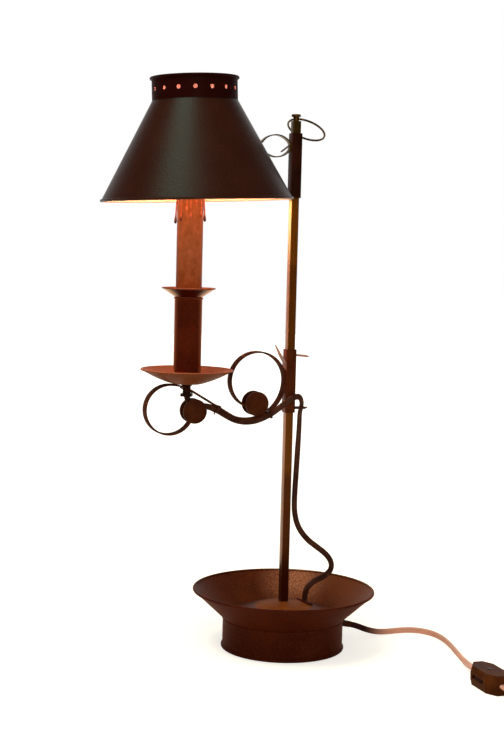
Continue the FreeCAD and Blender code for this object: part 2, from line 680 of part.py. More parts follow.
def make_switch():
    mid = SWITCH_HEIGHT / 2
    belt = SWITCH_HEIGHT * 0.16
    foot, side_foot, seam, side_top, top = (switch_plan(SWITCH_BEVEL, 0), switch_plan(0, mid - belt),
                                            switch_plan(0, mid), switch_plan(0, mid + belt),
                                            switch_plan(SWITCH_BEVEL, SWITCH_HEIGHT))
    lower = Part.makeLoft([foot, side_foot], True, True)
    lower = lower.fuse(Part.makeLoft([side_foot, seam], True, True))
    upper = Part.makeLoft([side_top, top], True, True)
    upper = upper.fuse(Part.makeLoft([seam, side_top], True, True))
    hollow_x = SWITCH_WIDTH / 2 - SWITCH_BEVEL - SWITCH_WALL
    hollow_y = SWITCH_LENGTH / 2 - SWITCH_TAPER
    hollow = box(-hollow_x, -hollow_y, SWITCH_WALL, hollow_x, hollow_y, SWITCH_HEIGHT - SWITCH_WALL)
    slot_half = WHEEL_THICK / 2 + 0.5
    slot = box(-SWITCH_WIDTH, -WHEEL_SLOT / 2, mid - slot_half,
               SWITCH_WIDTH, WHEEL_SLOT / 2, mid + slot_half)
    throat = CORD_RADIUS + 0.02
    lead = cylinder(throat, SWITCH_TAPER, V(0, SWITCH_LENGTH / 2 - SWITCH_TAPER, mid), V(0, 1, 0))
    tail = cylinder(throat, SWITCH_TAPER, V(0, -SWITCH_LENGTH / 2, mid), V(0, 1, 0))
    boss_top = mid - WHEEL_THICK / 2 - 0.2
    boss = tube(SCREW_RADIUS + 2.0, SCREW_RADIUS - 0.15, boss_top - SWITCH_WALL, V(0, 0, SWITCH_WALL))
    lower = lower.cut(group(hollow, slot, lead, tail)).fuse(boss).removeSplitter()
    screw_hole = cylinder(SCREW_RADIUS + 0.1, SWITCH_HEIGHT, V(0, 0, mid))
    upper = upper.cut(group(hollow, slot, lead, tail, screw_hole)).removeSplitter()
    recess = cylinder(SCREW_HEAD + 0.4, 1.0, V(0, 0, SWITCH_HEIGHT - 1.0))
    upper = upper.cut(recess)
    keep("switch_lower_shell", placed_switch(lower))
    keep("switch_upper_shell", placed_switch(upper))

    shank = cylinder(SCREW_RADIUS - 0.15, SWITCH_HEIGHT - SWITCH_WALL - 2.0,
                     V(0, 0, SWITCH_WALL + 1.0))
    head = cylinder(SCREW_HEAD, 1.4, V(0, 0, SWITCH_HEIGHT - 1.0))
    cross = box(-SCREW_HEAD, -0.35, SWITCH_HEIGHT - 0.1, SCREW_HEAD, 0.35, SWITCH_HEIGHT + 1)
    keep("switch_screw", placed_switch(shank.fuse(head).cut(cross)))

    tips = []
    for k in range(2 * WHEEL_TEETH):
        angle = math.pi * k / WHEEL_TEETH
        radius = WHEEL_RADIUS if k % 2 else WHEEL_RADIUS - 0.7
        tips.append(V(radius * math.cos(angle), radius * math.sin(angle), mid - WHEEL_THICK / 2))
    wheel = face_of(tips).extrude(V(0, 0, WHEEL_THICK))
    wheel = wheel.cut(cylinder(SCREW_RADIUS - 0.15 + RUNNING_GAP, SWITCH_HEIGHT))
    keep("switch_wheel", placed_switch(wheel))

    strips = []
    for side in (-1, 1):
        y = side * (hollow_y - 0.3)
        y_in = y - side * 0.5
        strips.append(box(-3.2, min(y, y_in), SWITCH_WALL, 3.2, max(y, y_in), SWITCH_HEIGHT - SWITCH_WALL))
    keep("switch_contacts", placed_switch(group(*strips)))


def make_plug():
    tail = mains_routes()[2][-1]
    rear = tail.y
    x = tail.x
    mid = PLUG_THICK / 2

    def section(y, width, thick):
        w, t = width / 2, thick / 2
        return Part.makePolygon([V(x - w, y, mid - t), V(x + w, y, mid - t), V(x + w, y, mid + t),
                                 V(x - w, y, mid + t), V(x - w, y, mid - t)])

    nose = rear + PLUG_LENGTH
    tail_end = section(rear, PLUG_WIDTH * 0.5, PLUG_THICK * 0.62)
    waist = section(rear + PLUG_LENGTH * 0.55, PLUG_WIDTH * 0.86, PLUG_THICK * 0.86)
    head = section(nose - 4, PLUG_WIDTH, PLUG_THICK)
    body = Part.makeLoft([tail_end, waist], True, True)
    body = body.fuse(Part.makeLoft([waist, head], True, True))
    body = body.fuse(box(x - PLUG_WIDTH / 2, nose - 4, 0, x + PLUG_WIDTH / 2, nose, PLUG_THICK))
    blades = []
    for side in (-1, 1):
        c = x + side * BLADE_SPACING / 2
        z0 = mid - BLADE_WIDTH / 2
        blade = box(c - BLADE_THICK / 2, nose - 6, z0, c + BLADE_THICK / 2, nose + BLADE_LENGTH,
                    z0 + BLADE_WIDTH)
        eye = cylinder(1.5, BLADE_THICK * 2, V(c - BLADE_THICK, nose + BLADE_LENGTH - 4, mid), V(1, 0, 0))
        body = body.cut(blade)
        blades.append(blade.cut(eye))
    keep("plug_body", body.removeSplitter())
    keep("plug_blades", group(*blades))


# Finial and carry ring

def ring_axis():
    a = math.radians(RING_AZIMUTH)
    return V(math.sin(a), -math.cos(a), 0)


def ring_way():
    a = math.radians(RING_AZIMUTH)
    d = math.radians(RING_DROOP)
    return V(math.cos(a) * math.cos(d), math.sin(a) * math.cos(d), -math.sin(d))


def make_finial():
    shank = cylinder(FINIAL_SHANK_RADIUS, FINIAL_SHANK, V(0, 0, POST_TOP))
    head_base = POST_TOP + FINIAL_SHANK
    head = cylinder(FINIAL_HEAD_RADIUS, FINIAL_HEAD, V(0, 0, head_base))
    head = head.makeFillet(FINIAL_HEAD * 0.3, [e for e in head.Edges if e.Closed])
    spigot = cylinder(FINIAL_SPIGOT_RADIUS, FINIAL_SPIGOT, V(0, 0, POST_TOP - FINIAL_SPIGOT))
    finial = shank.fuse([head, spigot]).removeSplitter()
    pin = V(0, 0, RING_PIN)
    drill = cylinder(RING_HOLE, 4 * FINIAL_SHANK_RADIUS, pin - ring_axis() * (2 * FINIAL_SHANK_RADIUS),
                     ring_axis())
    keep("finial", finial.cut(drill))

    centre = pin + ring_way() * RING_RADIUS
    normal = ring_axis().cross(ring_way())
    keep("carry_ring", Part.makeTorus(RING_RADIUS, RING_WIRE, centre, normal))


# Sleeves and what is fixed to them

def sleeve(bottom):
    half = SLEEVE_HALF
    bore = POST_SIDE / 2 + SLIDE_GAP
    outer = box(-half, -half, bottom, half, half, bottom + SLEEVE_LENGTH)
    return outer.cut(box(-bore, -bore, bottom, bore, bore, bottom + SLEEVE_LENGTH))


def thumb_tab(side, height, droop, length, roll=0.0):
    """Flat tab with a round tip that stands out of the sleeve's side, along +X or -X."""
    tip = TAB_WIDTH / 2
    plate = box(-1.5, -tip, -LEAF_THICK / 2, length - tip, tip, LEAF_THICK / 2)
    plate = plate.fuse(cylinder(tip, LEAF_THICK, V(length - tip, 0, -LEAF_THICK / 2))).removeSplitter()
    turn = FreeCAD.Rotation(V(0, 1, 0), droop).multiply(FreeCAD.Rotation(V(1, 0, 0), roll))
    if side < 0:
        turn = FreeCAD.Rotation(UP, 180).multiply(turn)
    plate.Placement = FreeCAD.Placement(V(side * SLEEVE_HALF, 0, height), turn)
    half = SLEEVE_HALF
    return plate.cut(box(-half, -half, height - 20, half, half, height + 20))


def spring_leaf():
    """Pointed leaf that lies on the sleeve's left side and flares away from it at the top."""
    left = -SLEEVE_HALF
    z = ARM_BOTTOM
    side = [V(left, 0, z + 52), V(left, 0, z + 61), V(left - 5.4, 0, z + 69.5), V(left - 12.6, 0, z + 82.5),
            V(left - 13.3, 0, z + 82.1), V(left - 6.2, 0, z + 69.0), V(left - LEAF_THICK, 0, z + 60.6),
            V(left - LEAF_THICK, 0, z + 52)]
    plate = face_of(side).extrude(V(0, LEAF_WIDTH, 0))
    plate.translate(V(0, -LEAF_WIDTH / 2, 0))
    half = LEAF_WIDTH / 2
    front = [V(0, -half, z + 52), V(0, half, z + 52), V(0, half, z + 66), V(0, 0.4, z + 84),
             V(0, -0.4, z + 84), V(0, -half, z + 66)]
    return plate.common(face_of(front).extrude(V(-40, 0, 0)))


def make_ties():
    route = arm_cord_route()
    strip_half = STRIP_WIDTH / 2 + 0.25
    thick, wide = 0.9, 2.6
    bundle = STRIP_THICK + 2 * CORD_RADIUS + 0.9
    ties = []
    for i, share in ((5, 0.2), (9, 0.5)):
        way = (route[i + 1] - route[i]).normalize()
        middle = route[i] * (1 - share) + route[i + 1] * share
        level = math.hypot(way.x, way.z)
        lift = (STRIP_THICK + 0.2) / 2
        middle = V(middle.x - way.z / level * lift, 0, middle.z + way.x / level * lift)
        turn = math.degrees(math.atan2(way.z, way.x))
        band = box(-wide / 2, -strip_half - thick, -bundle / 2 - thick, wide / 2, strip_half + thick,
                   bundle / 2 + thick)
        band = band.cut(box(-wide / 2, -strip_half, -bundle / 2, wide / 2, strip_half, bundle / 2))
        tail = cylinder(0.8, 3.0, V(0, strip_half * 0.2, -bundle / 2 - thick / 2), V(0.35, 0, -1))
        band = band.fuse(tail)
        band.Placement = FreeCAD.Placement(middle, FreeCAD.Rotation(V(0, -1, 0), turn))
        ties.append(band)
    last = route[-3]
    inner = SLEEVE_HALF + 0.05
    reach = last.x + CORD_RADIUS + 0.5
    z = last.z
    y = last.y
    side = CORD_RADIUS + 0.6
    strap = box(inner, y - side - thick, z - wide / 2, reach + thick, y + side + thick, z + wide / 2)
    strap = strap.cut(box(inner + thick, y - side, z - wide / 2, reach, y + side, z + wide / 2))
    tail = cylinder(0.9, 4.0, V(reach + thick / 2, y, z), V(1, -0.3, 0.1))
    ties.append(strap.fuse(tail))
    keep("cord_ties", group(*ties))


def make_arm():
    keep("arm_sleeve", sleeve(ARM_BOTTOM))
    keep("arm_spring_leaf", spring_leaf())
    keep("arm_thumb_tab", thumb_tab(1, ARM_BOTTOM + 70.0, 5.0, TAB_LENGTH + 2.5, TAB_ROLL))
    strip = bent_strip(scroll(), STRIP_THICK, STRIP_WIDTH)
    top, lean = strip_top_at_candle()
    drill = cylinder(PIPE_RADIUS + 0.4, 16, V(-CANDLE_REACH, 0, top - 8))
    keep("scroll_strip", strip.cut(drill))
    discs = []
    for end in (0, 1):
        c = disc_centre(end)
        for y in (-STRIP_WIDTH / 2 - DISC_THICK, STRIP_WIDTH / 2):
            disc = cylinder(DISC_RADIUS, DISC_THICK, V(c.x, y, c.z), V(0, 1, 0))
            discs.append(disc)
    keep("scroll_discs", group(*discs))

    slant = math.radians(lean)
    under = top - STRIP_THICK / 2 / math.cos(slant)
    axis = V(math.sin(slant), 0, math.cos(slant))
    arch = SEAT_WASHER_RADIUS ** 2 / (2 * SHOULDER - STRIP_THICK) + 0.1
    seat = V(-CANDLE_REACH, 0, under) - axis * (SEAT_WASHER_THICK + arch)
    keep("seat_washer", tube(SEAT_WASHER_RADIUS, SEAT_WASHER_HOLE, SEAT_WASHER_THICK, seat, axis))
    nut_top = seat.z - PIPE_NUT_FLATS / math.sqrt(3) * math.sin(slant) - 0.2
    nut_z = nut_top - PIPE_NUT_THICK
    over = DISH_BOTTOM + DISH_WALL + CUP_WALL + 0.05
    rest = strip_surface(-CANDLE_REACH - PIPE_RADIUS - 1.4) + 0.1
    nuts = [hex_nut(PIPE_NUT_FLATS, PIPE_NUT_THICK, PIPE_RADIUS, V(-CANDLE_REACH, 0, nut_z)),
            hex_nut(PIPE_NUT_FLATS, PIPE_NUT_THICK, PIPE_RADIUS, V(-CANDLE_REACH, 0, over)),
            tube(PIPE_RADIUS + 1.4, PIPE_RADIUS, DISH_BOTTOM - rest, V(-CANDLE_REACH, 0, rest))]
    keep("pipe_nuts", group(*nuts))
    pipe_end = min(top - PIPE_BELOW, nut_z)
    socket_base = COVER_TOP - SOCKET_HEIGHT - 6
    keep("support_pipe", tube(PIPE_RADIUS, PIPE_RADIUS - PIPE_WALL, socket_base - pipe_end,
                              V(-CANDLE_REACH, 0, pipe_end)))
    make_candle(socket_base)


def make_candle(socket_base):
    line = [(PIPE_RADIUS + 0.15, 0), (DISH_BOTTOM_RADIUS, 0)]
    steps = 4
    for k in range(1, steps + 1):
        t = k / steps
        r = DISH_BOTTOM_RADIUS + (DISH_RADIUS - DISH_BOTTOM_RADIUS) * t
        line.append((r, DISH_DEPTH * t - DISH_BULGE * 4 * t * (1 - t)))
    dish = sheet_spun(line, DISH_WALL)
    dish = dish.fuse(bead(DISH_RADIUS - DISH_BEAD / 2, DISH_DEPTH, DISH_BEAD)).removeSplitter()
    dish.translate(CANDLE + V(0, 0, DISH_BOTTOM))
    keep("drip_dish", dish)

    base = DISH_BOTTOM + DISH_WALL
    floor = CUP_WALL
    cup = sheet_spun([(PIPE_RADIUS + 0.15, 0), (CUP_RADIUS, 0), (CUP_RADIUS, CUP_HEIGHT),
                      (PAN_RADIUS, CUP_HEIGHT + PAN_RISE)], CUP_WALL)
    cup = cup.fuse(bead(PAN_RADIUS - PAN_BEAD / 2, CUP_HEIGHT + PAN_RISE, PAN_BEAD)).removeSplitter()
    cup.translate(CANDLE + V(0, 0, base))
    keep("candle_cup", cup)

    bottom = base + floor + 0.1
    height = COVER_TOP - bottom
    cover = tube(COVER_RADIUS, COVER_RADIUS - COVER_WALL, height, CANDLE + V(0, 0, bottom))
    cap_band = tube(COVER_RADIUS + DRIP_THICK, COVER_RADIUS - 0.3, DRIP_BAND,
                    CANDLE + V(0, 0, COVER_TOP - DRIP_BAND))
    cover = cover.fuse([cap_band] + drips())
    keep("candle_cover", cover.cut(cylinder(COVER_RADIUS - COVER_WALL, height, CANDLE + V(0, 0, bottom))))

    socket = cylinder(SOCKET_RADIUS, SOCKET_HEIGHT, V(0, 0, 0))
    well = CAP_HEIGHT + 6
    socket = socket.cut(cylinder(SHELL_RADIUS + 0.05 - 1.2, well, V(0, 0, SOCKET_HEIGHT - well)))
    socket = socket.cut(cylinder(PIPE_RADIUS, 6, V(0, 0, 0)))
    socket.translate(CANDLE + V(0, 0, socket_base - 6))
    keep("socket_body", socket)
    rim = socket_base - 6 + SOCKET_HEIGHT
    shell_out = SHELL_RADIUS - 1.2
    keep("socket_shell", tube(shell_out, shell_out - SHELL_WALL, CAP_HEIGHT + 2,
                              CANDLE + V(0, 0, rim - CAP_HEIGHT - 2)))
    keep("socket_contact", cylinder(3.0, 3.2, CANDLE + V(0, 0, rim - CAP_HEIGHT - 6)))
    cap_out = shell_out - SHELL_WALL - 0.1
    cap = tube(cap_out, cap_out - CAP_WALL, CAP_HEIGHT, CANDLE + V(0, 0, rim - CAP_HEIGHT))
    cap = cap.fuse(cylinder(cap_out, CAP_WALL, CANDLE + V(0, 0, rim - CAP_HEIGHT)))
    cap = cap.fuse(cylinder(2.6, 2.8, CANDLE + V(0, 0, rim - CAP_HEIGHT - 2.8)))
    keep("bulb_cap", cap.removeSplitter())
    make_bulb(rim, cap_out - CAP_WALL - 0.05)


def make_bulb(base, neck):
    """Glass of revolution: a straight neck in the cap, then a pear-shaped globe."""
    centre = BULB_HEIGHT - BULB_RADIUS
    def glass(radius, throat, bottom):
        shoulder = centre - radius * math.sin(math.radians(35))
        meet = radius * math.cos(math.radians(35))
        edges = [Part.LineSegment(V(0, 0, bottom), V(throat, 0, bottom)).toShape(),
                 Part.LineSegment(V(throat, 0, bottom), V(throat, 0, 4)).toShape(),
                 Part.LineSegment(V(throat, 0, 4), V(meet, 0, shoulder)).toShape(),
                 Part.Arc(V(meet, 0, shoulder), V(radius, 0, centre), V(0, 0, centre + radius)).toShape(),
                 Part.LineSegment(V(0, 0, centre + radius), V(0, 0, bottom)).toShape()]
        return Part.Face(Part.Wire(edges)).revolve(V(0, 0, 0), UP, 360)
    body = glass(BULB_RADIUS, neck, -6).cut(glass(BULB_RADIUS - BULB_WALL, neck - BULB_WALL, -6 - 1))
    body.translate(CANDLE + V(0, 0, base))
    keep("bulb_glass", body)


def drips():
    """Runs of wax under the band at the candle's top: (angle, length, half width)."""
    runs = [(-150, 34, 2.0), (-120, 40, 1.7), (-88, 33, 2.2), (-62, 27, 1.7), (-36, 37, 2.0),
            (-4, 43, 1.8), (34, 30, 2.1), (72, 38, 1.8), (110, 28, 2.0), (150, 36, 1.8), (180, 42, 1.7)]
    made = []
    for angle, length, half in runs:
        a = math.radians(angle)
        at = CANDLE + V(math.cos(a), math.sin(a), 0) * (COVER_RADIUS - half + DRIP_THICK + DRIP_PROUD)
        low = COVER_TOP - length
        made.append(cylinder(half, length - DRIP_BAND / 2, at + V(0, 0, low)))
        made.append(Part.makeSphere(half, at + V(0, 0, low)))
    return made


# Shade

def shade_origin():
    """Centre of the lower rim: its bead lies against the sleeve's left side."""
    reach = (SHADE_BOTTOM_RADIUS + SHADE_BEAD) * math.cos(math.radians(SHADE_TILT))
    return V(-SLEEVE_HALF - SHADE_SEAT_GAP - reach, 0, SHADE_BOTTOM)


def placed_shade(shape):
    shape.Placement = FreeCAD.Placement(shade_origin(), FreeCAD.Rotation(V(0, 1, 0), -SHADE_TILT))
    return shape


def make_shade():
    cone = sheet_spun([(SHADE_BOTTOM_RADIUS, 0), (SHADE_TOP_RADIUS, SHADE_CONE)], SHADE_WALL)
    cone = cone.fuse(bead(SHADE_BOTTOM_RADIUS, 0, SHADE_BEAD)).removeSplitter()
    keep("shade_cone", placed_shade(cone))
    top = SHADE_CONE + SHADE_COLLAR
    collar = tube(SHADE_TOP_RADIUS + 0.25, SHADE_TOP_RADIUS + 0.25 - SHADE_WALL, SHADE_COLLAR,
                  V(0, 0, SHADE_CONE + 0.02))
    collar = collar.fuse(bead(SHADE_TOP_RADIUS + 0.8, top, SHADE_BEAD)).removeSplitter()
    for k in range(COLLAR_HOLES):
        a = 2 * math.pi * k / COLLAR_HOLES + math.radians(COLLAR_HOLE_TURN)
        way = V(math.cos(a), math.sin(a), 0)
        collar = collar.cut(cylinder(COLLAR_HOLE_RADIUS, 8, way * (SHADE_TOP_RADIUS - 4)
                                     + V(0, 0, SHADE_CONE + COLLAR_HOLE_HEIGHT), way))
    keep("shade_collar", placed_shade(collar))

    keep("shade_sleeve", sleeve(SHADE_SLEEVE_BOTTOM))
    keep("shade_curl", shade_curl())
    centre, bend = curl_bend()
    inside = cylinder(bend - CURL_THICK / 2, 2 * TAB_WIDTH, centre - V(0, TAB_WIDTH, 0), V(0, 1, 0))
    tab = thumb_tab(-1, SHADE_SLEEVE_BOTTOM + 63.5, 38.0, TAB_LENGTH - 0.5)
    keep("shade_thumb_tab", tab.common(inside))
    keep("shade_lug", shade_lug())


def cone_side(height):
    """X of the shade's right side at this height."""
    lean = math.atan((SHADE_BOTTOM_RADIUS - SHADE_TOP_RADIUS) / SHADE_CONE)
    tilt = math.radians(SHADE_TILT)
    o = shade_origin()
    foot_x = o.x + SHADE_BOTTOM_RADIUS * math.cos(tilt)
    foot_z = o.z + SHADE_BOTTOM_RADIUS * math.sin(tilt)
    return foot_x - (height - foot_z) * math.tan(lean + tilt)


def curl_bend():
    """Centre and radius of the curl's bend against the sleeve."""
    bend = (CURL_HIGH - CURL_LOW) / 2
    height = SHADE_SLEEVE_BOTTOM + (CURL_HIGH + CURL_LOW) / 2
    return V(-SLEEVE_HALF - CURL_THICK / 2 - bend, 0, height), bend


def shade_curl():
    """Open loop of flat strip between the sleeve and the shade's side."""
    centre, bend = curl_bend()
    middle = centre.z
    lean = math.atan((SHADE_BOTTOM_RADIUS - SHADE_TOP_RADIUS) / SHADE_CONE) + math.radians(SHADE_TILT)
    gap = (bend + CURL_THICK / 2 + 0.3) / math.cos(lean)
    left = (cone_side(middle) + gap, middle)
    right = (centre.x, middle)
    return bent_strip([(left, bend, 195, 270), (right, bend, 270, 450), (left, bend, 450, 510)],
                      CURL_THICK, CURL_WIDTH)


def shade_lug():
    """Short lug that holds the shade's lower rim off the foot of its sleeve."""
    rim_z = SHADE_BOTTOM + SHADE_BOTTOM_RADIUS * math.sin(math.radians(SHADE_TILT))
    half = SHADE_LUG_WIDTH / 2
    return box(-SLEEVE_HALF - SHADE_SEAT_GAP + 0.1, -half, rim_z - 1.4, -SLEEVE_HALF, half,
               SHADE_SLEEVE_BOTTOM + 3.0)


def main():
    os.makedirs("parts", exist_ok=True)
    make_base()
    make_post()
    make_cord_plate()
    make_bushing()
    make_cords()
    make_switch()
    make_plug()
    make_finial()
    make_arm()
    make_ties()
    make_shade()
    for name, shape in parts.items():
        solids = shape.Solids
        ok = all(s.isValid() for s in solids)
        print(name, len(solids), "solids", "valid" if ok else "NOT VALID", round(shape.Volume, 1))
        shape.exportStep("parts/" + name + ".step")


main()
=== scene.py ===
# Looks of a table lamp with a candle, a tin shade and a pan base, on the frame of its solids
import math

import bmesh
import bpy
from mathutils import Matrix, Vector


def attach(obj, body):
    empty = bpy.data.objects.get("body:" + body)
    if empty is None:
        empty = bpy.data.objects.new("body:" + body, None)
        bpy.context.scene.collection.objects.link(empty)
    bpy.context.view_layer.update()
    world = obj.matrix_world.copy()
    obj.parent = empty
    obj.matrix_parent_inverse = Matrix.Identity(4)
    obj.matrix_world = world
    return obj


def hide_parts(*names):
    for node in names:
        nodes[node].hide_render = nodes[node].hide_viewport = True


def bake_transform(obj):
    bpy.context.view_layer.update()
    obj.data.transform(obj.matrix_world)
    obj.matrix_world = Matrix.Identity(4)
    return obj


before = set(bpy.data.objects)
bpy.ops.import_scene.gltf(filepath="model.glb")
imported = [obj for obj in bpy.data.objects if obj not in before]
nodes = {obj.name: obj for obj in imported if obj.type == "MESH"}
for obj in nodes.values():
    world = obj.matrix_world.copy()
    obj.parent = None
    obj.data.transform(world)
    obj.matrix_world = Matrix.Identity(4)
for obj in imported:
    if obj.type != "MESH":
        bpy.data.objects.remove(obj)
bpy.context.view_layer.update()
scene = bpy.context.scene


def mm(x, y, z):
    return Vector((x, y, z)) / 1000


def tone(red, green, blue):
    """A colour as it looks, from 0 to 255 a channel, for a shader."""
    return (*[(c / 255 / 12.92) if c < 10.3 else ((c / 255 + 0.055) / 1.055) ** 2.4
              for c in (red, green, blue)], 1)


# The lamp's own sizes, in millimetres, as the solids have them
TIN = 0.9
FOOT_RADIUS = 74.0
FOOT_HEIGHT = 37.5
FOOT_BEAD = 2.2
RIM_RADIUS = 110.2
RIM_HEIGHT = 71.6
RIM_WIRE = 1.5
DOME_RADIUS = 35.0
DOME_RISE = 6.4
POST_SIDE = 9.525
POST_FOOT = 51.2
POST_TOP = 641.5
SLIDE_GAP = 0.2
SLEEVE = 6.3125
SLEEVE_LENGTH = 77.0
SHADE_SLEEVE = 550.0
ARM = 291.0
STRIP_WIDTH = 12.7
CANDLE_X = -130.3
CANDLE_TOP = 562.0
CANDLE_RADIUS = 15.35
DISH = 327.2
SHADE_FOOT = mm(-122.405, 0, 544.4)
SHADE_TILT = math.radians(-2.5)
SHADE_LOW = 111.9
SHADE_HIGH = 49.9
SHADE_CONE = 114.0
SHADE_WIRE = 1.7
COLLAR_TOP = 139.8
COLLAR_HOLES = 16
CUP_RADIUS = 16.3
CUP_TOP = 102.5
PAN_RISE = 9.5
BULB_RADIUS = 23.0
BUSH_TURN = math.radians(6)
BUSH_DROOP = math.radians(14)
BUSH_LENGTH = 22.0
TWIN_WIDTH = 7.4
TWIN_THICK = 3.7
RING_PIN = mm(0, 0, 643.9)
RING_AXIS = Vector((0.5, -0.866025, 0))
RING_RADIUS = 23.2
SWITCH = mm(164.3, -224.4, 0)
SWITCH_TURN = math.radians(-1.9)
SWITCH_MIDDLE = 11.3
LEAD_ON_EDGE = 3.75
COIL_RADIUS = 50.0
COIL_PITCH = 7.6
COIL_TURNS = 2.5
COIL_Y = -315.0
COIL_LOW = 1.95
COIL_HIGH = 5.8


def add_object(name, data):
    made = bpy.data.objects.new(name, data)
    scene.collection.objects.link(made)
    return made


# Camera

def aim_camera():
    data = bpy.data.cameras.new("view_of_the_lamp")
    data.lens = 1472.353 * 36 / 756
    data.sensor_width = 36
    data.clip_end = 20
    camera = add_object("view_of_the_lamp", data)
    look = Vector((0.344965, 0.934294, -0.089967)).normalized()
    right = Vector((0.938583, -0.344160, 0.024808)).normalized()
    up = right.cross(look)
    turn = Matrix((right, up, -look)).transposed().to_4x4()
    camera.matrix_world = Matrix.Translation(mm(-659.55, -1656.03, 492.69)) @ turn
    scene.camera = camera


# Materials

class Level:
    """A number that changes over a surface. Python's signs add the Math nodes."""

    def __init__(self, coat, socket):
        self.coat = coat
        self.socket = socket

    def maths(self, kind, *values):
        return self.coat.node("Math", {"operation": kind}, dict(enumerate(values)))

    def __add__(self, other):
        return self.maths("ADD", self, other)

    def __sub__(self, other):
        return self.maths("SUBTRACT", self, other)

    def __rsub__(self, other):
        return self.maths("SUBTRACT", other, self)

    def __mul__(self, other):
        return self.maths("MULTIPLY", self, other)

    __radd__ = __add__
    __rmul__ = __mul__

    def between(self, low, high):
        """0 where this is below low, 1 where it is above high."""
        return self.coat.node("MapRange", {"interpolation_type": "SMOOTHSTEP"},
                              {0: self, 1: low, 2: high, 3: 0.0, 4: 1.0})


class Graph:
    """The nodes of one material or of the world."""

    def __init__(self, tree):
        self.tree = tree

    def node(self, kind, settings=None, values=None, out=0):
        made = self.tree.nodes.new("ShaderNode" + kind)
        for key, value in (settings or {}).items():
            setattr(made, key, value)
        for key, value in (values or {}).items():
            if isinstance(value, Level):
                self.tree.links.new(value.socket, made.inputs[key])
            else:
                made.inputs[key].default_value = value
        return Level(self, made.outputs[out])

    def ray(self, kind):
        """1 for rays of this kind, from the eye or off a gloss or through glass, and 0 for others."""
        return self.node("LightPath", out="Is " + kind + " Ray")

    def either(self, *levels):
        """The highest of these."""
        top = levels[0]
        for level in levels[1:]:
            top = self.node("Math", {"operation": "MAXIMUM"}, {0: top, 1: level})
        return top

    def blend(self, share, first, second):
        return self.node("Mix", {"data_type": "RGBA"}, {0: share, 6: first, 7: second}, out=2)


class Coat(Graph):
    """One finish: its fixed values on the shader, and the nodes that vary it."""

    def __init__(self, name, **fixed):
        self.material = bpy.data.materials.new(name)
        self.material.use_nodes = True
        super().__init__(self.material.node_tree)
        self.shader = self.tree.nodes["Principled BSDF"]
        for key, value in fixed.items():
            self.shader.inputs[key].default_value = value
        self.place = self.node("TexCoord", out="Object")

    def noise(self, scale, detail=3.0, rough=0.55, place=None):
        return self.node("TexNoise", {}, {"Vector": place or self.place, "Scale": scale,
                                          "Detail": detail, "Roughness": rough}, out="Fac")

    def cells(self, scale, place=None):
        return self.node("TexVoronoi", {"feature": "SMOOTH_F1"},
                         {"Vector": place or self.place, "Scale": scale}, out="Distance")

    def part(self, axis, place=None):
        return self.node("SeparateXYZ", {}, {0: place or self.place}, out=axis)

    def facing(self, axis):
        """How far the surface looks along X, Y or Z."""
        return self.part(axis, self.node("NewGeometry", out="Normal"))

    def upward(self, height, foot, *steps):
        """A colour from the foot up, changed over each pair of heights, in metres."""
        for low, high, colour in steps:
            foot = self.blend(height.between(low, high), foot, colour)
        return foot

    def grazing(self, blend=0.5):
        """0 where the surface looks at the viewer, 1 where it turns away."""
        return self.node("LayerWeight", {}, {"Blend": blend}, out="Facing")

    def feed(self, name, value):
        self.tree.links.new(value.socket, self.shader.inputs[name])
        return self

    def rough(self, low, high, share):
        return self.feed("Roughness", share * (high - low) + low)

    def relief(self, height, depth, strength=1.0):
        return self.feed("Normal", self.node("Bump", {}, {"Strength": strength, "Distance": depth,
                                                          "Height": height}))


def hammered(name, dark, light, glint, gloss=0.42, specular=0.02, tint=(1, 1, 1, 1), depth=0.0002,
             edge=None, turn=(0.35, 1.0), seam=None):
    """Enamel over tin with a fine hammered grain and painted glints; an edge colour is painted sheen where
    the surface turns from the viewer.
    """
    coat = Coat(name, **{"Specular IOR Level": specular, "Specular Tint": tint})
    grain = coat.cells(430.0)
    dust = coat.noise(1100.0, 2.0)
    cloud = coat.noise(22.0, 5.0)
    worn = cloud.between(0.3, 0.72) * 0.6 + grain.between(0.2, 0.8) * 0.4
    base = coat.blend(worn, dark, light)
    # Painted glints: the brightest specks are lightened toward the glint colour.
    colour = coat.blend(dust.between(0.56, 0.72) * 0.5, base, glint)
    # Painted sheen: the edge colour where the surface turns away from the viewer.
    if edge:
        colour = coat.blend(coat.grazing(0.35).between(*turn), colour, edge)
    if seam:
        lean = coat.node("VectorMath", {"operation": "DOT_PRODUCT"},
                         {0: coat.place, 1: (math.sin(SHADE_TILT), 0, math.cos(SHADE_TILT))}, out="Value")
        start = SHADE_FOOT.x * math.sin(SHADE_TILT) + SHADE_FOOT.z * math.cos(SHADE_TILT)
        height = lean - (start + SHADE_CONE / 1000)
        line = 1.0 - coat.node("Math", {"operation": "ABSOLUTE"}, {0: height}).between(0.0004, 0.0016)
        colour = coat.blend(line * 0.8, colour, seam)
    coat.feed("Base Color", colour)
    coat.rough(gloss - 0.05, gloss + 0.1, cloud)
    coat.relief(grain * 0.7 + dust * 0.35, depth)
    return coat.material


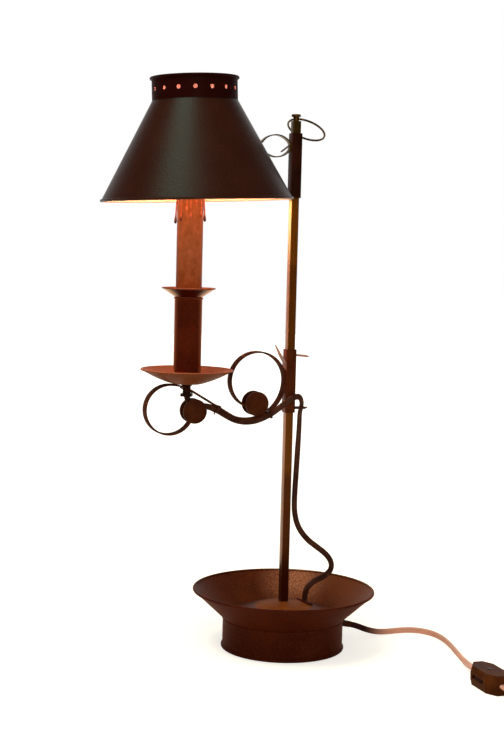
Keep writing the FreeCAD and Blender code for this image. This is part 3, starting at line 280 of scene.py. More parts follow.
def make_pan_tin():
    """The pan's inside, with painted bulb light: a bright spot behind the post, the part right of the post
    lighter, and painted glints on its specks.
    """
    coat = Coat("pan_tin", **{"Specular IOR Level": 0.04})
    grain = coat.cells(520.0)
    dust = coat.noise(900.0, 3.0)
    cloud = coat.noise(22.0, 5.0)
    worn = cloud.between(0.3, 0.72) * 0.6 + grain.between(0.2, 0.8) * 0.4
    base = coat.blend(worn, tone(72, 26, 6), tone(92, 42, 16))
    # Painted bulb light: a bright spot behind the post, and the part right of the post painted lighter, past
    # the dish's shadow.
    distance_to_lit_spot = coat.node("VectorMath", {"operation": "DISTANCE"}, {0: coat.place, 1: (0.05, 0.088, 0.06)},
                    out="Value")
    painted_light_patch = 1.0 - (distance_to_lit_spot + cloud * 0.03).between(0.012, 0.075)
    bright = coat.blend(dust.between(0.42, 0.6), tone(134, 72, 40), tone(216, 142, 98))
    colour = coat.blend(painted_light_patch * 0.95, base, bright)
    right = coat.part("X").between(0.045, 0.1)
    colour = coat.blend(right * 0.35, colour, tone(140, 82, 46))
    # Painted glints on the brightest specks.
    coat.feed("Base Color", coat.blend(dust.between(0.58, 0.74) * 0.35, colour, tone(160, 100, 62)))
    coat.rough(0.32, 0.46, cloud)
    coat.relief(grain * 0.7 + dust * 0.35, 0.0002)
    return coat.material


def make_post_brass():
    """Square brass tube with painted light and shade: its left face painted bright where light falls on it,
    both faces lighter where the bulb lights the post under the shade and darker toward the foot.
    """
    coat = Coat("post_brass", Metallic=0.5, **{"Specular IOR Level": 0.1})
    height = coat.part("Z")
    lines = coat.noise(1.0, 3.0, place=coat.node("Mapping", {}, {0: coat.place, 3: (900, 900, 14)}))
    cloud = coat.noise(36.0, 5.0)
    front = coat.upward(height, tone(76, 26, 10), (0.085, 0.12, tone(84, 40, 12)),
                        (0.208, 0.226, tone(112, 62, 14)), (0.31, 0.33, tone(106, 56, 8)),
                        (0.466, 0.474, tone(124, 70, 10)), (0.624, 0.627, tone(62, 42, 8)))
    left = coat.upward(height, tone(90, 44, 20), (0.08, 0.13, tone(134, 88, 62)),
                       (0.19, 0.24, tone(166, 112, 84)), (0.3, 0.4, tone(188, 126, 92)),
                       (0.464, 0.52, tone(250, 222, 150)), (0.624, 0.627, tone(84, 62, 14)))
    # Painted light: faces that look left take the bright colours.
    side = (coat.facing("X") * -1.0).between(0.5, 0.9)
    lit_and_shaded_brass = coat.blend(side, front, left)
    colour = coat.blend((cloud * 0.65 + lines * 0.35).between(0.34, 0.66) * 0.22, lit_and_shaded_brass, tone(44, 14, 4))
    coat.feed("Base Color", colour)
    coat.rough(0.2, 0.34, lines)
    coat.relief(lines, 0.00003)
    return coat.material


def lacquered(name, dark, light, metal=0.3, gloss=0.4, edge=None, lit_left_face=None, specular=0.08):
    """Brown lacquer over brass, with painted sheen in an edge colour where the surface turns from the viewer,
    and faces that look left painted lighter where light falls on them.
    """
    coat = Coat(name, Metallic=metal, **{"Specular IOR Level": specular})
    cloud = coat.noise(60.0, 5.0)
    grain = coat.noise(700.0, 2.0)
    colour = coat.blend((cloud * 0.7 + grain * 0.3).between(0.36, 0.64), dark, light)
    # Painted sheen where the surface turns away from the viewer.
    if edge:
        colour = coat.blend(coat.grazing(0.4).between(0.3, 1.0), colour, edge)
    # Painted light: faces that look left are made lighter.
    if lit_left_face:
        colour = coat.blend((coat.facing("X") * -1.0).between(0.4, 0.9), colour, lit_left_face)
    coat.feed("Base Color", colour)
    coat.rough(gloss - 0.06, gloss + 0.1, cloud)
    coat.relief(grain, 0.00008)
    return coat.material


def moulded(name, dark, light, low, high, grain=900.0, depth=0.00006, **fixed):
    """A plain moulding with a little cloud in its colour and a fine grain."""
    coat = Coat(name, **fixed)
    cloud = coat.noise(70.0, 4.0)
    coat.feed("Base Color", coat.blend(cloud.between(0.35, 0.68), dark, light))
    coat.rough(low, high, cloud)
    coat.relief(coat.noise(grain, 2.0), depth)
    return coat.material


def make_wax():
    wax = Coat("candle_wax", **{"Specular IOR Level": 0.1})
    streaks = wax.noise(1.0, 4.0, place=wax.node("Mapping", {}, {0: wax.place, 3: (300, 300, 60)}))
    mottle = wax.noise(170.0, 5.0)
    mix = (streaks * 0.35 + mottle * 0.65).between(0.36, 0.64)
    # Painted light: the tube is painted paler toward the top, where the bulb under the shade lights it.
    height = wax.part("Z")
    low = wax.blend(mix, tone(118, 59, 20), tone(136, 73, 32))
    high = wax.blend(mix, tone(120, 68, 34), tone(140, 80, 50))
    wax.feed("Base Color", wax.blend(height.between(0.43, 0.5), low, high))
    wax.rough(0.42, 0.6, mottle)
    wax.relief(mottle + streaks * 0.4, 0.0002)

    drip = Coat("drip_wax", **{"Specular IOR Level": 0.3})
    mottle = drip.noise(240.0, 3.0)
    fresh = drip.blend(mottle.between(0.35, 0.65), tone(140, 56, 22), tone(196, 100, 60))
    # The drips are painted paler above 0.545 to 0.556 m and dark at their low tips.
    paler_above_rim = drip.blend(drip.part("Z").between(0.545, 0.556), fresh, tone(214, 130, 92))
    drip.feed("Base Color", drip.blend(drip.part("Z").between(0.5185, 0.528), tone(46, 10, 5), paler_above_rim))
    drip.rough(0.25, 0.4, mottle)
    drip.relief(mottle, 0.0002)
    return wax.material, drip.material


def make_jackets():
    """Brown cord jacket, and the mains lead's, painted dark near the base where its shadow falls and pale
    where it lies lit on the table.
    """
    arm = moulded("cord_jacket", tone(52, 20, 10), tone(78, 42, 24), 0.4, 0.5, 700.0, 0.00005,
                  **{"Specular IOR Level": 0.12})
    coat = Coat("mains_jacket", **{"Specular IOR Level": 0.1})
    cloud = coat.noise(60.0, 3.0)
    dark = coat.blend(cloud, tone(42, 8, 5), tone(56, 17, 12))
    painted_lit_jacket = coat.blend(cloud, tone(206, 144, 120), tone(230, 172, 146))
    # Painted shadow and light: dark toward the base, pale out on the table.
    coat.feed("Base Color", coat.blend(coat.part("X").between(0.114, 0.158), dark, painted_lit_jacket))
    coat.rough(0.3, 0.42, cloud)
    coat.relief(coat.noise(700.0, 2.0), 0.00004)
    return arm, coat.material


def make_glass():
    glass = Coat("lamp_glass", **{"Transmission Weight": 1.0, "IOR": 1.45, "Roughness": 0.12,
                                  "Emission Strength": 0.8})
    glow = glass.part("Z").between(0.552, 0.59)
    glass.feed("Emission Color", glass.blend(glow, tone(230, 170, 110), tone(255, 226, 180)))
    glass.feed("Base Color", glass.blend(glow, tone(235, 225, 210), tone(255, 240, 220)))
    return glass.material


def make_finishes():
    made = {}
    # The edge colours in this list are painted sheen where a surface turns from the viewer; the sleeves'
    # left-face colours are painted light.
    made["tin"] = hammered("hammered_tin", tone(54, 14, 5), tone(74, 28, 11), tone(104, 54, 26),
                           edge=tone(92, 36, 16), turn=(0.3, 0.9))
    made["pan_tin"] = make_pan_tin()
    made["cup_tin"] = hammered("cup_tin", tone(64, 15, 5), tone(86, 31, 11), tone(102, 44, 20),
                               edge=tone(172, 88, 38), turn=(0.2, 0.8))
    # Painted highlight: the lip's sides go bright salmon where they turn from the viewer.
    made["lip_tin"] = hammered("lip_tin", tone(48, 5, 1), tone(64, 10, 3), tone(80, 26, 12), gloss=0.3,
                               edge=tone(255, 206, 172), turn=(0.42, 0.7))
    # Painted light: the dish's and the cup's upward faces are painted bright for the bulb's light falling on
    # them.
    made["dish_painted_bulb_light"] = hammered("dish_painted_bulb_light", tone(146, 76, 48), tone(176, 100, 70), tone(208, 142, 106),
                                gloss=0.36)
    made["dish_under"] = hammered("dish_under", tone(106, 56, 32), tone(128, 70, 42), tone(150, 90, 60),
                                  edge=tone(150, 84, 58), turn=(0.75, 1.0))
    made["shade_tin"] = hammered("shade_tin", tone(44, 14, 4), tone(52, 20, 7), tone(72, 44, 28), gloss=0.36,
                                 specular=0.13, tint=(0.42, 1.0, 0.8, 1), seam=tone(22, 4, 2))
    made["collar_tin"] = hammered("collar_tin", tone(32, 4, 2), tone(38, 8, 4), tone(48, 18, 9),
                                  edge=tone(60, 26, 14))
    made["dome_tin"] = hammered("dome_tin", tone(108, 52, 14), tone(132, 70, 28), tone(160, 100, 56))
    made["shade_lining"] = hammered("shade_lining", tone(218, 156, 118), tone(238, 182, 144),
                                    tone(250, 196, 160))
    made["collar_lining"] = hammered("collar_lining", tone(126, 74, 66), tone(148, 92, 82),
                                     tone(176, 118, 106))
    made["post_brass"] = make_post_brass()
    made["sleeve_brass"] = lacquered("sleeve_brass", tone(70, 25, 5), tone(88, 38, 11),
                                     lit_left_face=tone(108, 44, 20))
    made["dark_brass"] = lacquered("dark_brass", tone(38, 10, 2), tone(50, 18, 5), lit_left_face=tone(70, 28, 12))
    made["disc_brass"] = lacquered("disc_brass", tone(60, 20, 5), tone(78, 36, 12), edge=tone(90, 46, 20))
    made["strip_brass"] = lacquered("strip_brass", tone(58, 24, 10), tone(84, 42, 22), metal=0.15, gloss=0.5,
                                    edge=tone(80, 42, 24), specular=0.0)
    # Painted light: brass painted bright for the spring leaf and thumb tab, where light falls on them.
    made["lit_brass"] = lacquered("lit_brass", tone(140, 76, 52), tone(196, 126, 98), gloss=0.34)
    made["ring_brass"] = lacquered("ring_brass", tone(52, 30, 6), tone(86, 60, 18), metal=0.5, gloss=0.3,
                                   edge=tone(120, 96, 44))
    made["nut_brass"] = lacquered("nut_brass", tone(34, 10, 5), tone(58, 24, 12), metal=0.4, gloss=0.34)
    made["wax"], made["drip"] = make_wax()
    made["jacket"], made["mains_jacket"] = make_jackets()
    made["tie"] = moulded("nylon_tie", tone(48, 18, 8), tone(70, 32, 16), 0.34, 0.48,
                          **{"Specular IOR Level": 0.15})
    made["glass"] = make_glass()
    made["plastic"] = moulded("brown_plastic", tone(62, 28, 8), tone(82, 42, 14), 0.42, 0.54,
                              **{"Specular IOR Level": 0.03})
    made["relief"] = moulded("relief_plastic", tone(34, 8, 3), tone(48, 16, 8), 0.36, 0.5,
                             **{"Specular IOR Level": 0.1})
    made["black"] = moulded("black_moulding", tone(26, 24, 23), tone(38, 35, 33), 0.4, 0.55,
                            **{"Specular IOR Level": 0.2})
    made["steel"] = moulded("plated_steel", tone(92, 58, 30), tone(126, 88, 52), 0.3, 0.45, Metallic=1.0)
    made["contact"] = moulded("bright_brass", tone(206, 164, 96), tone(226, 190, 122), 0.24, 0.36,
                              Metallic=1.0)
    made["iron"] = moulded("raw_casting", tone(48, 46, 44), tone(74, 70, 66), 0.6, 0.8, 160.0, 0.0006,
                           Metallic=0.6)
    made["felt"] = moulded("felt", tone(40, 32, 28), tone(70, 58, 50), 0.9, 1.0, 800.0, 0.0005,
                           **{"Sheen Weight": 0.4, "Specular IOR Level": 0.1})
    return made


finish = {}


# Making of pieces

def dress(piece, paint, body, stands_for=(), sharp=35.0):
    """Gives a piece its finishes, smooth shading and body, and hides the nodes that it stands for."""
    mesh = piece.data
    for material in paint if isinstance(paint, (list, tuple)) else [paint]:
        mesh.materials.append(material)
    mesh.polygons.foreach_set("use_smooth", [True] * len(mesh.polygons))
    mesh.set_sharp_from_angle(angle=math.radians(sharp))
    mesh.update()
    if body:
        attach(piece, body)
    if stands_for:
        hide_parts(*stands_for)
    return piece


def place_piece(name, mesh, paint, body, stands_for=(), sharp=35.0):
    return dress(add_object(name, mesh), paint, body, stands_for, sharp)


def to_mesh(name, bm, move=None):
    bmesh.ops.remove_doubles(bm, verts=bm.verts, dist=1e-7)
    bmesh.ops.recalc_face_normals(bm, faces=bm.faces)
    if move is not None:
        bmesh.ops.transform(bm, matrix=move, verts=bm.verts)
    mesh = bpy.data.meshes.new(name)
    bm.to_mesh(mesh)
    bm.free()
    return mesh


def arc(x, z, radius, start, end, count=8):
    return [(x + radius * math.cos(math.radians(start + (end - start) * k / count)),
             z + radius * math.sin(math.radians(start + (end - start) * k / count)))
            for k in range(count + 1)]


def wired(x, z, radius, toward, wall, count=18):
    """A rolled edge's outline: round the wire from one side of the wall to the other."""
    half = math.degrees(math.asin(wall / 2 / radius))
    return arc(x, z, radius, toward + half, toward - half + 360, count)


def spin_outline(bm, outline, steps, closed=True):
    verts = [bm.verts.new(mm(r, 0, z)) for r, z in outline]
    edges = [bm.edges.new(pair) for pair in zip(verts, verts[1:])]
    if closed:
        edges.append(bm.edges.new((verts[-1], verts[0])))
    bmesh.ops.spin(bm, geom=verts + edges, cent=(0, 0, 0), axis=(0, 0, 1), dvec=(0, 0, 0),
                   angle=2 * math.pi, steps=steps, use_merge=True)


def turned(name, outline, paint, body, stands_for=(), at=(0, 0, 0), steps=128, closed=True, move=None,
           sharp=35.0):
    """A piece turned about Z from (radius, height) corners."""
    bm = bmesh.new()
    spin_outline(bm, outline, steps, closed)
    if move is None:
        move = Matrix.Translation(mm(*at))
    return place_piece(name, to_mesh(name, bm, move), paint, body, stands_for, sharp)


def finished(piece):
    """The piece with its modifiers made part of its mesh."""
    bpy.context.view_layer.update()
    seen = piece.evaluated_get(bpy.context.evaluated_depsgraph_get())
    mesh = bpy.data.meshes.new_from_object(seen)
    old = piece.data
    piece.modifiers.clear()
    piece.data = mesh
    bpy.data.meshes.remove(old)
    return piece


# Cords

def smooth_line(route, fine=6):
    """Points along the smooth line that a route's points pull on."""
    curve = bpy.data.curves.new("route", "CURVE")
    curve.dimensions = "3D"
    curve.resolution_u = fine
    spline = curve.splines.new("NURBS")
    spline.points.add(len(route) - 1)
    for point, place in zip(spline.points, route):
        point.co = (*place, 1)
    spline.order_u = 3
    spline.use_endpoint_u = True
    holder = add_object("route", curve)
    bpy.context.view_layer.update()
    mesh = bpy.data.meshes.new_from_object(holder)
    line = [v.co.copy() for v in mesh.vertices]
    bpy.data.objects.remove(holder)
    bpy.data.curves.remove(curve)
    bpy.data.meshes.remove(mesh)
    kept = [line[0]]
    for point in line[1:]:
        if (point - kept[-1]).length > 1e-5:
            kept.append(point)
    return kept


def twin_section():
    """Outline of the flat twin lead across its line: two lobes and the groove between."""
    radius = TWIN_THICK / 2
    centre = TWIN_WIDTH / 2 - radius
    right = [(centre + radius * math.cos(math.radians(a)), radius * math.sin(math.radians(a)))
             for a in (-118, -90, -60, -30, 0, 30, 60, 90, 118)]
    left = [(-x, -y) for x, y in right]
    return right + [(0, 1.1)] + left + [(0, -1.1)]


def twin_lead(name, line, flat_side, paint):
    """Mesh of the flat twin lead along a line; flat_side(way, point) is where its flat face looks."""
    section = twin_section()
    bm = bmesh.new()
    rings = []
    for i, point in enumerate(line):
        way = (line[min(i + 1, len(line) - 1)] - line[max(i - 1, 0)]).normalized()
        wide = way.cross(flat_side(way, point)).normalized()
        thin = wide.cross(way).normalized()
        rings.append([bm.verts.new(point + wide * x / 1000 + thin * y / 1000) for x, y in section])
    for ring, following in zip(rings, rings[1:]):
        for k in range(len(section)):
            n = (k + 1) % len(section)
            bm.faces.new((ring[k], ring[n], following[n], following[k]))
    bm.faces.new(rings[0][::-1])
    bm.faces.new(rings[-1])
    return place_piece(name, to_mesh(name, bm), paint, None, sharp=60.0)


def line_length(line):
    return sum((b - a).length for a, b in zip(line, line[1:]))


def switch_place(x, y, z):
    return SWITCH + Matrix.Rotation(SWITCH_TURN, 3, "Z") @ mm(x, y, z)


def coil_point(turns, left):
    inward = min(turns, COIL_TURNS)
    outward = max(0.0, turns - COIL_TURNS - 0.5)
    radius = COIL_RADIUS - COIL_PITCH * (inward - outward)
    climb = min(max((turns - COIL_TURNS) * 2, 0.0), 1.0)
    angle = math.pi + 2 * math.pi * turns
    height = COIL_LOW + (COIL_HIGH - COIL_LOW) * climb * climb * (3 - 2 * climb)
    return mm(left + COIL_RADIUS + radius * math.cos(angle), COIL_Y + radius * math.sin(angle), height)


def bush_seat():
    return mm(FOOT_RADIUS * math.cos(BUSH_TURN), FOOT_RADIUS * math.sin(BUSH_TURN), 24.4)


def bush_way():
    flat = Vector((math.cos(BUSH_TURN), math.sin(BUSH_TURN), 0))
    return flat * math.cos(BUSH_DROOP) - Vector((0, 0, math.sin(BUSH_DROOP)))


def make_drum_lead():
    """The lead between the cord plate and the strain relief, hidden in the drum."""
    seat = bush_seat()
    route = [mm(30.4, 4.8, 55.2), mm(30.4, 4.8, 39.2), mm(36.4, 5.2, 29.6), mm(47.4, 5.8, 26.2),
             seat - Vector((0.01193, 0.00125, 0)), seat, seat + bush_way() * BUSH_LENGTH / 1000]
    line = smooth_line(route)
    lead = twin_lead("drum_lead", line, lambda way, p: way.cross(Vector((0.2, 1, 0))), finish["jacket"])
    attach(lead, "stand")
    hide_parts("inner_cord")
    line_length(line)


def on_edge(way, point):
    """The mains lead lies on edge up to the switch, where it turns over and then lies flat."""
    side = Vector((way.y, -way.x, 0)).normalized()
    turn = math.pi / 2 * min(max((point.y + 0.188) / 0.058, 0), 1)
    return side * math.sin(turn) + Vector((0, 0, math.cos(turn)))


def make_mains_lead():
    start = bush_seat() + bush_way() * BUSH_LENGTH / 1000
    edge = LEAD_ON_EDGE
    route = [start, start + bush_way() * 0.008, mm(113, 12.0, 12.6), mm(124, 13.4, 8.2), mm(137, 15.2, 4.9),
             mm(153, 17.4, edge), mm(171, 19.4, edge), mm(190, 16.0, edge), mm(203.5, -1, edge),
             mm(206.5, -26, edge), mm(202.5, -54, edge), mm(194.5, -86, edge), mm(185, -120, 4.4),
             mm(176.5, -148, 6.6), mm(170, -169, 9.6),
             switch_place(0, 40, SWITCH_MIDDLE), switch_place(0, 23, SWITCH_MIDDLE)]
    line = smooth_line(route, 5)
    lead = twin_lead("mains_lead", line, on_edge, finish["mains_jacket"])
    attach(lead, "stand")
    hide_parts("mains_cord")
    line_length(line)


def make_coil_lead():
    left = switch_place(0, -31, 0).x * 1000 - 0.6
    right = left + 2 * COIL_RADIUS
    start = switch_place(0, -23, SWITCH_MIDDLE)
    route = [start, switch_place(0, -38, SWITCH_MIDDLE), mm(left - 0.2, -278, 7.6), mm(left - 0.2, -291, 3.4),
             mm(left, COIL_Y + 12, COIL_LOW)]
    count = int((2 * COIL_TURNS + 0.5) * 16)
    route += [coil_point(k / 16, left) for k in range(count + 1)]
    route += [mm(right, COIL_Y + 14, COIL_HIGH), mm(right + 0.5, COIL_Y + 28, 5.0),
              mm(right + 1.3, COIL_Y + 43, 4.4), mm(right + 2, COIL_Y + 58, 7), mm(right + 2, COIL_Y + 69, 7)]
    line = smooth_line(route, 4)
    lead = twin_lead("coil_lead", line, lambda way, point: Vector((0, 0, 1)), finish["mains_jacket"])
    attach(lead, "stand")
    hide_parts("mains_cord", "cord_coil")
    line_length(line)
    make_coil_straps(left) + [nodes["plug_body"], nodes["plug_blades"]]


def make_coil_straps(left):
    """Two straps that hold the coil's turns together."""
    straps = []
    inner, outer = COIL_RADIUS - COIL_TURNS * COIL_PITCH - 4.6, COIL_RADIUS + 4.6
    low, high = 1.0, 7.9
    for name, angle in (("coil_strap_a", 70), ("coil_strap_b", 250)):
        bm = bmesh.new()
        loop = [(inner, low), (outer, low), (outer, high), (inner, high)]
        verts = [bm.verts.new(mm(x, -2.5, z)) for x, z in loop]
        edges = [bm.edges.new((verts[k], verts[(k + 1) % 4])) for k in range(4)]
        made = bmesh.ops.extrude_edge_only(bm, edges=edges)["geom"]
        bmesh.ops.translate(bm, vec=mm(0, 5, 0), verts=[g for g in made if isinstance(g, bmesh.types.BMVert)])
        corners = [e for e in bm.edges if abs((e.verts[0].co - e.verts[1].co).y) > 0.004]
        bmesh.ops.bevel(bm, geom=corners, offset=0.0022, offset_type="OFFSET", segments=5, profile=0.5,
                        affect="EDGES", material=-1)
        bmesh.ops.recalc_face_normals(bm, faces=bm.faces)
        bmesh.ops.solidify(bm, geom=bm.faces[:], thickness=-0.0009)
        move = Matrix.Translation(mm(left + COIL_RADIUS, COIL_Y, 0))
        move = move @ Matrix.Rotation(math.radians(angle), 4, "Z")
        straps.append(place_piece(name, to_mesh(name, bm, move), finish["tie"], "stand"))
    return straps


def make_arm_lead():
    z = ARM
    cz, cx = 330.0, -53.11
    front = -(SLEEVE + 2.775 + 0.4)
    leave = math.radians(-121.3)
    tangent = Vector((math.sin(leave), 0, -math.cos(leave)))
    foot = mm(cx + 49.78 * math.cos(leave), 0, cz + 49.78 * math.sin(leave))
    route = [mm(CANDLE_X, 0, 319), mm(CANDLE_X, 0, 312.4), mm(CANDLE_X + 2.5, 0, 306),
             mm(CANDLE_X + 7.9, 0, 302), mm(CANDLE_X + 15.1, 0, 300.7), foot + tangent * 0.022]
    for k, y in enumerate((0, 0, 0, 0, -4.9)):
        a = leave + math.radians(8 * (2 * k + 1))
        route.append(mm(cx + 50.27 * math.cos(a), y, cz + 50.27 * math.sin(a)))
    route += [mm(-7.5, front, z + 12.6), mm(2.5, front - 0.6, z + 19.4),
              mm(10.4, front + 0.6, z + 20.4), mm(15.2, front + 3.6, z + 14.0),
              mm(15.0, -4.6, z + 6.0), mm(13.6, -3.4, z - 0.5),
              mm(13.6, -3.4, z - 15), mm(13.0, -2.6, z - 38), mm(11.9, -1.6, z - 74),
              mm(10.9, -0.8, z - 104), mm(11.6, 0, z - 124), mm(16.8, 0.6, z - 142), mm(29.0, 1.0, z - 158),
              mm(44.0, 1.6, z - 169), mm(57.4, 2.2, z - 179), mm(65.0, 2.8, z - 190),
              mm(64.0, 3.2, z - 200.6),
              mm(53.6, 3.7, z - 207.6), mm(41.5, 4.2, z - 212.4), mm(33.6, 4.6, z - 219.6),
              mm(30.4, 4.8, z - 228.0), mm(30.4, 4.8, 51)]
    line = smooth_line(route, 8)
    total = line_length(line)

    def flat_side(way, point):
        """Across the strip, turning to face out over the post and forward again down to the pan."""
        out = min(max((point.x * 1000 + 2) / 12, 0), 1)
        down = min(max((305 - point.z * 1000) / 60, 0), 1)
        return Vector((0.9 * out * (1 - down) + 0.2 * down, -1, 0.25 * down))
    lead = twin_lead("arm_lead", line, flat_side, finish["jacket"])
    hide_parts("arm_cord", "hanging_cord")
    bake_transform(lead)
    return lead


# Base

def make_base():
    flare = math.degrees(math.atan2(34.1, 36.6))
    outline = [(FOOT_RADIUS - 0.8, FOOT_HEIGHT), (FOOT_RADIUS, FOOT_HEIGHT), (74.7, 38.15)]
    outline += wired(RIM_RADIUS, RIM_HEIGHT, RIM_WIRE, flare + 180, TIN)
    outline += [(76.2, 41.0), (75.4, 40.2), (FOOT_RADIUS, 40.3), (60, 43.9), (48, 47.9), (40, 50.5),
                (37.4, 51.1), (DOME_RADIUS, POST_FOOT), (0.0, POST_FOOT), (0.0, POST_FOOT - TIN),
                (DOME_RADIUS, POST_FOOT - TIN), (72.6, 38.9)]
    turned("pan", outline, [finish["tin"], finish["pan_tin"]], "stand", ["base_bowl"], steps=160)
    pan = bpy.data.objects["pan"].data
    for face in pan.polygons:
        centre = face.center * 1000
        radius = math.hypot(centre.x, centre.y)
        inside = face.normal.z > 0.05 and radius < RIM_RADIUS - 0.8
        face.material_index = 1 if inside else 0
    outline = wired(FOOT_RADIUS - TIN / 2, FOOT_BEAD, FOOT_BEAD, 90, TIN)
    outline += [(FOOT_RADIUS, 34.6), (FOOT_RADIUS + 0.5, 35.4), (FOOT_RADIUS + 0.5, 36.9),
                (FOOT_RADIUS, 37.45), (FOOT_RADIUS - TIN, 37.45)]
    turned("foot_band", outline, finish["tin"], "stand", ["foot_drum"], steps=160)

    sphere = (DOME_RADIUS ** 2 + DOME_RISE ** 2) / (2 * DOME_RISE)
    top = POST_FOOT + DOME_RISE
    outline = [(DOME_RADIUS, 51.22)] + [(r, top - sphere + math.sqrt(sphere ** 2 - r ** 2)) for r in
                                        (34.4, 30, 25, 20, 15, 10, 5.2)]
    outline += [(5.2, top - 1.2), (20, top - 3.2), (34.0, 51.22)]
    turned("dome", outline, finish["dome_tin"], "stand", ["post_flange"], steps=96)


def square_bar(name, half, low, high, paint, body, stands_for=(), corner=0.35, hollow=None):
    bm = bmesh.new()
    bmesh.ops.create_cube(bm, size=1.0)
    bmesh.ops.scale(bm, vec=mm(2 * half, 2 * half, high - low), verts=bm.verts)
    bmesh.ops.translate(bm, vec=mm(0, 0, (low + high) / 2), verts=bm.verts)
    if hollow:
        ends = [f for f in bm.faces if abs(f.normal.z) > 0.9]
        bmesh.ops.inset_region(bm, faces=[ends[0]], thickness=(half - hollow) / 1000, use_even_offset=True)
        bmesh.ops.inset_region(bm, faces=[ends[1]], thickness=(half - hollow) / 1000, use_even_offset=True)
        loops = [e for f in ends for e in f.edges]
        bmesh.ops.delete(bm, geom=ends, context="FACES_ONLY")
        bmesh.ops.bridge_loops(bm, edges=loops)
    edges = [e for e in bm.edges if e.calc_length() > 0.0001 and len(e.link_faces) == 2
             and e.calc_face_angle(0) > 1.0]
    bmesh.ops.bevel(bm, geom=edges, offset=corner / 1000, offset_type="OFFSET", segments=3, profile=0.5,
                    affect="EDGES", material=-1)
    return place_piece(name, to_mesh(name, bm), paint, body, stands_for, sharp=50.0)


def make_post():
    square_bar("post_bar", POST_SIDE / 2, POST_FOOT, POST_TOP, finish["post_brass"], "stand", ["post"])
    head = 646.3
    outline = [(0, POST_TOP - 0.1), (3.6, POST_TOP - 0.1), (3.6, head), (4.9, head)]
    outline += arc(4.7, head + 1.0, 1.0, -90, 0, 4) + arc(4.5, head + 2.0, 1.2, 0, 90, 5) + [(0, head + 3.2)]
    turned("finial_knob", outline, finish["ring_brass"], "stand", ["finial"], steps=40)


def make_carry_ring():
    droop = math.radians(29)
    turn = math.radians(30)
    way = Vector((math.cos(turn) * math.cos(droop), math.sin(turn) * math.cos(droop), -math.sin(droop)))
    normal = RING_AXIS.cross(way)
    bm = bmesh.new()
    upright = Matrix.Rotation(math.pi / 2, 4, "X")
    bmesh.ops.create_circle(bm, segments=14, radius=0.00125,
                            matrix=Matrix.Translation(mm(RING_RADIUS, 0, 0)) @ upright)
    bmesh.ops.spin(bm, geom=bm.verts[:] + bm.edges[:], cent=(0, 0, 0), axis=(0, 0, 1), dvec=(0, 0, 0),
                   angle=2 * math.pi, steps=96, use_merge=True)
    move = Matrix((way, normal.cross(way), normal)).transposed().to_4x4()
    move = Matrix.Translation(RING_PIN + way * RING_RADIUS / 1000) @ move
    return place_piece("carry_wire", to_mesh("carry_wire", bm, move), finish["ring_brass"], "carry_ring",
                       ["carry_ring"], sharp=60.0)


# Sliding arm

def scroll_arcs():
    height = ARM + 39.0
    right = -(SLEEVE + 0.8)
    ring = (right - 34.7, height)
    inner = (right - 2 * 34.7 + 32.4, height)
    sweep = (right - 46.0, height)
    top = ARM + 35.1
    shoulder = (-152.0, top - 54.8)
    outer = (-152.0, top - 29.5)
    dx, dz = shoulder[0] - sweep[0], shoulder[1] - sweep[1]
    lean = math.degrees(math.atan2(dz, dx)) % 360
    leave = lean + math.degrees(math.acos((46.0 + 54.8) / math.hypot(dx, dz)))
    return [(inner, 32.4, 265, 180), (ring, 34.7, 180, 0), (sweep, 46.0, 0, leave - 360),
            (shoulder, 54.8, leave - 180, 90), (outer, 29.5, 90, 345)]


def bent_strip(name, arcs, width, thick, paint, body, stands_for, corner=0.3):
    """A flat strip on edge, bent round each arc in turn."""
    bm = bmesh.new()
    (cx, cz), radius, start, _ = arcs[0]
    a = math.radians(start)
    first = [bm.verts.new(mm(cx + radius * math.cos(a), y, cz + radius * math.sin(a)))
             for y in (-width / 2, width / 2)]
    edge = bm.edges.new(first)
    for (cx, cz), radius, start, end in arcs:
        a = math.radians(start)
        here = mm(cx + radius * math.cos(a), 0, cz + radius * math.sin(a))
        middle = (edge.verts[0].co + edge.verts[1].co) / 2
        if (middle - here).length > 1e-5:
            made = bmesh.ops.extrude_edge_only(bm, edges=[edge])["geom"]
            edge = [g for g in made if isinstance(g, bmesh.types.BMEdge)][0]
            bmesh.ops.translate(bm, vec=here - middle, verts=list(edge.verts))
        steps = max(2, int(abs(end - start) / 4))
        made = bmesh.ops.spin(bm, geom=list(edge.verts) + [edge], cent=mm(cx, 0, cz), axis=(0, 1, 0),
                              dvec=(0, 0, 0), angle=-math.radians(end - start), steps=steps,
                              use_merge=False)["geom_last"]
        edge = [g for g in made if isinstance(g, bmesh.types.BMEdge)][0]
    bmesh.ops.recalc_face_normals(bm, faces=bm.faces)
    mesh = bpy.data.meshes.new(name)
    bm.to_mesh(mesh)
    bm.free()
    piece = add_object(name, mesh)
    wall = piece.modifiers.new("wall", "SOLIDIFY")
    wall.thickness = thick / 1000
    wall.offset = 0
    soft = piece.modifiers.new("corner", "BEVEL")
    soft.width = corner / 1000
    soft.segments = 2
    soft.limit_method = "ANGLE"
    soft.angle_limit = math.radians(50)
    return dress(finished(piece), paint, body, stands_for, sharp=40.0)


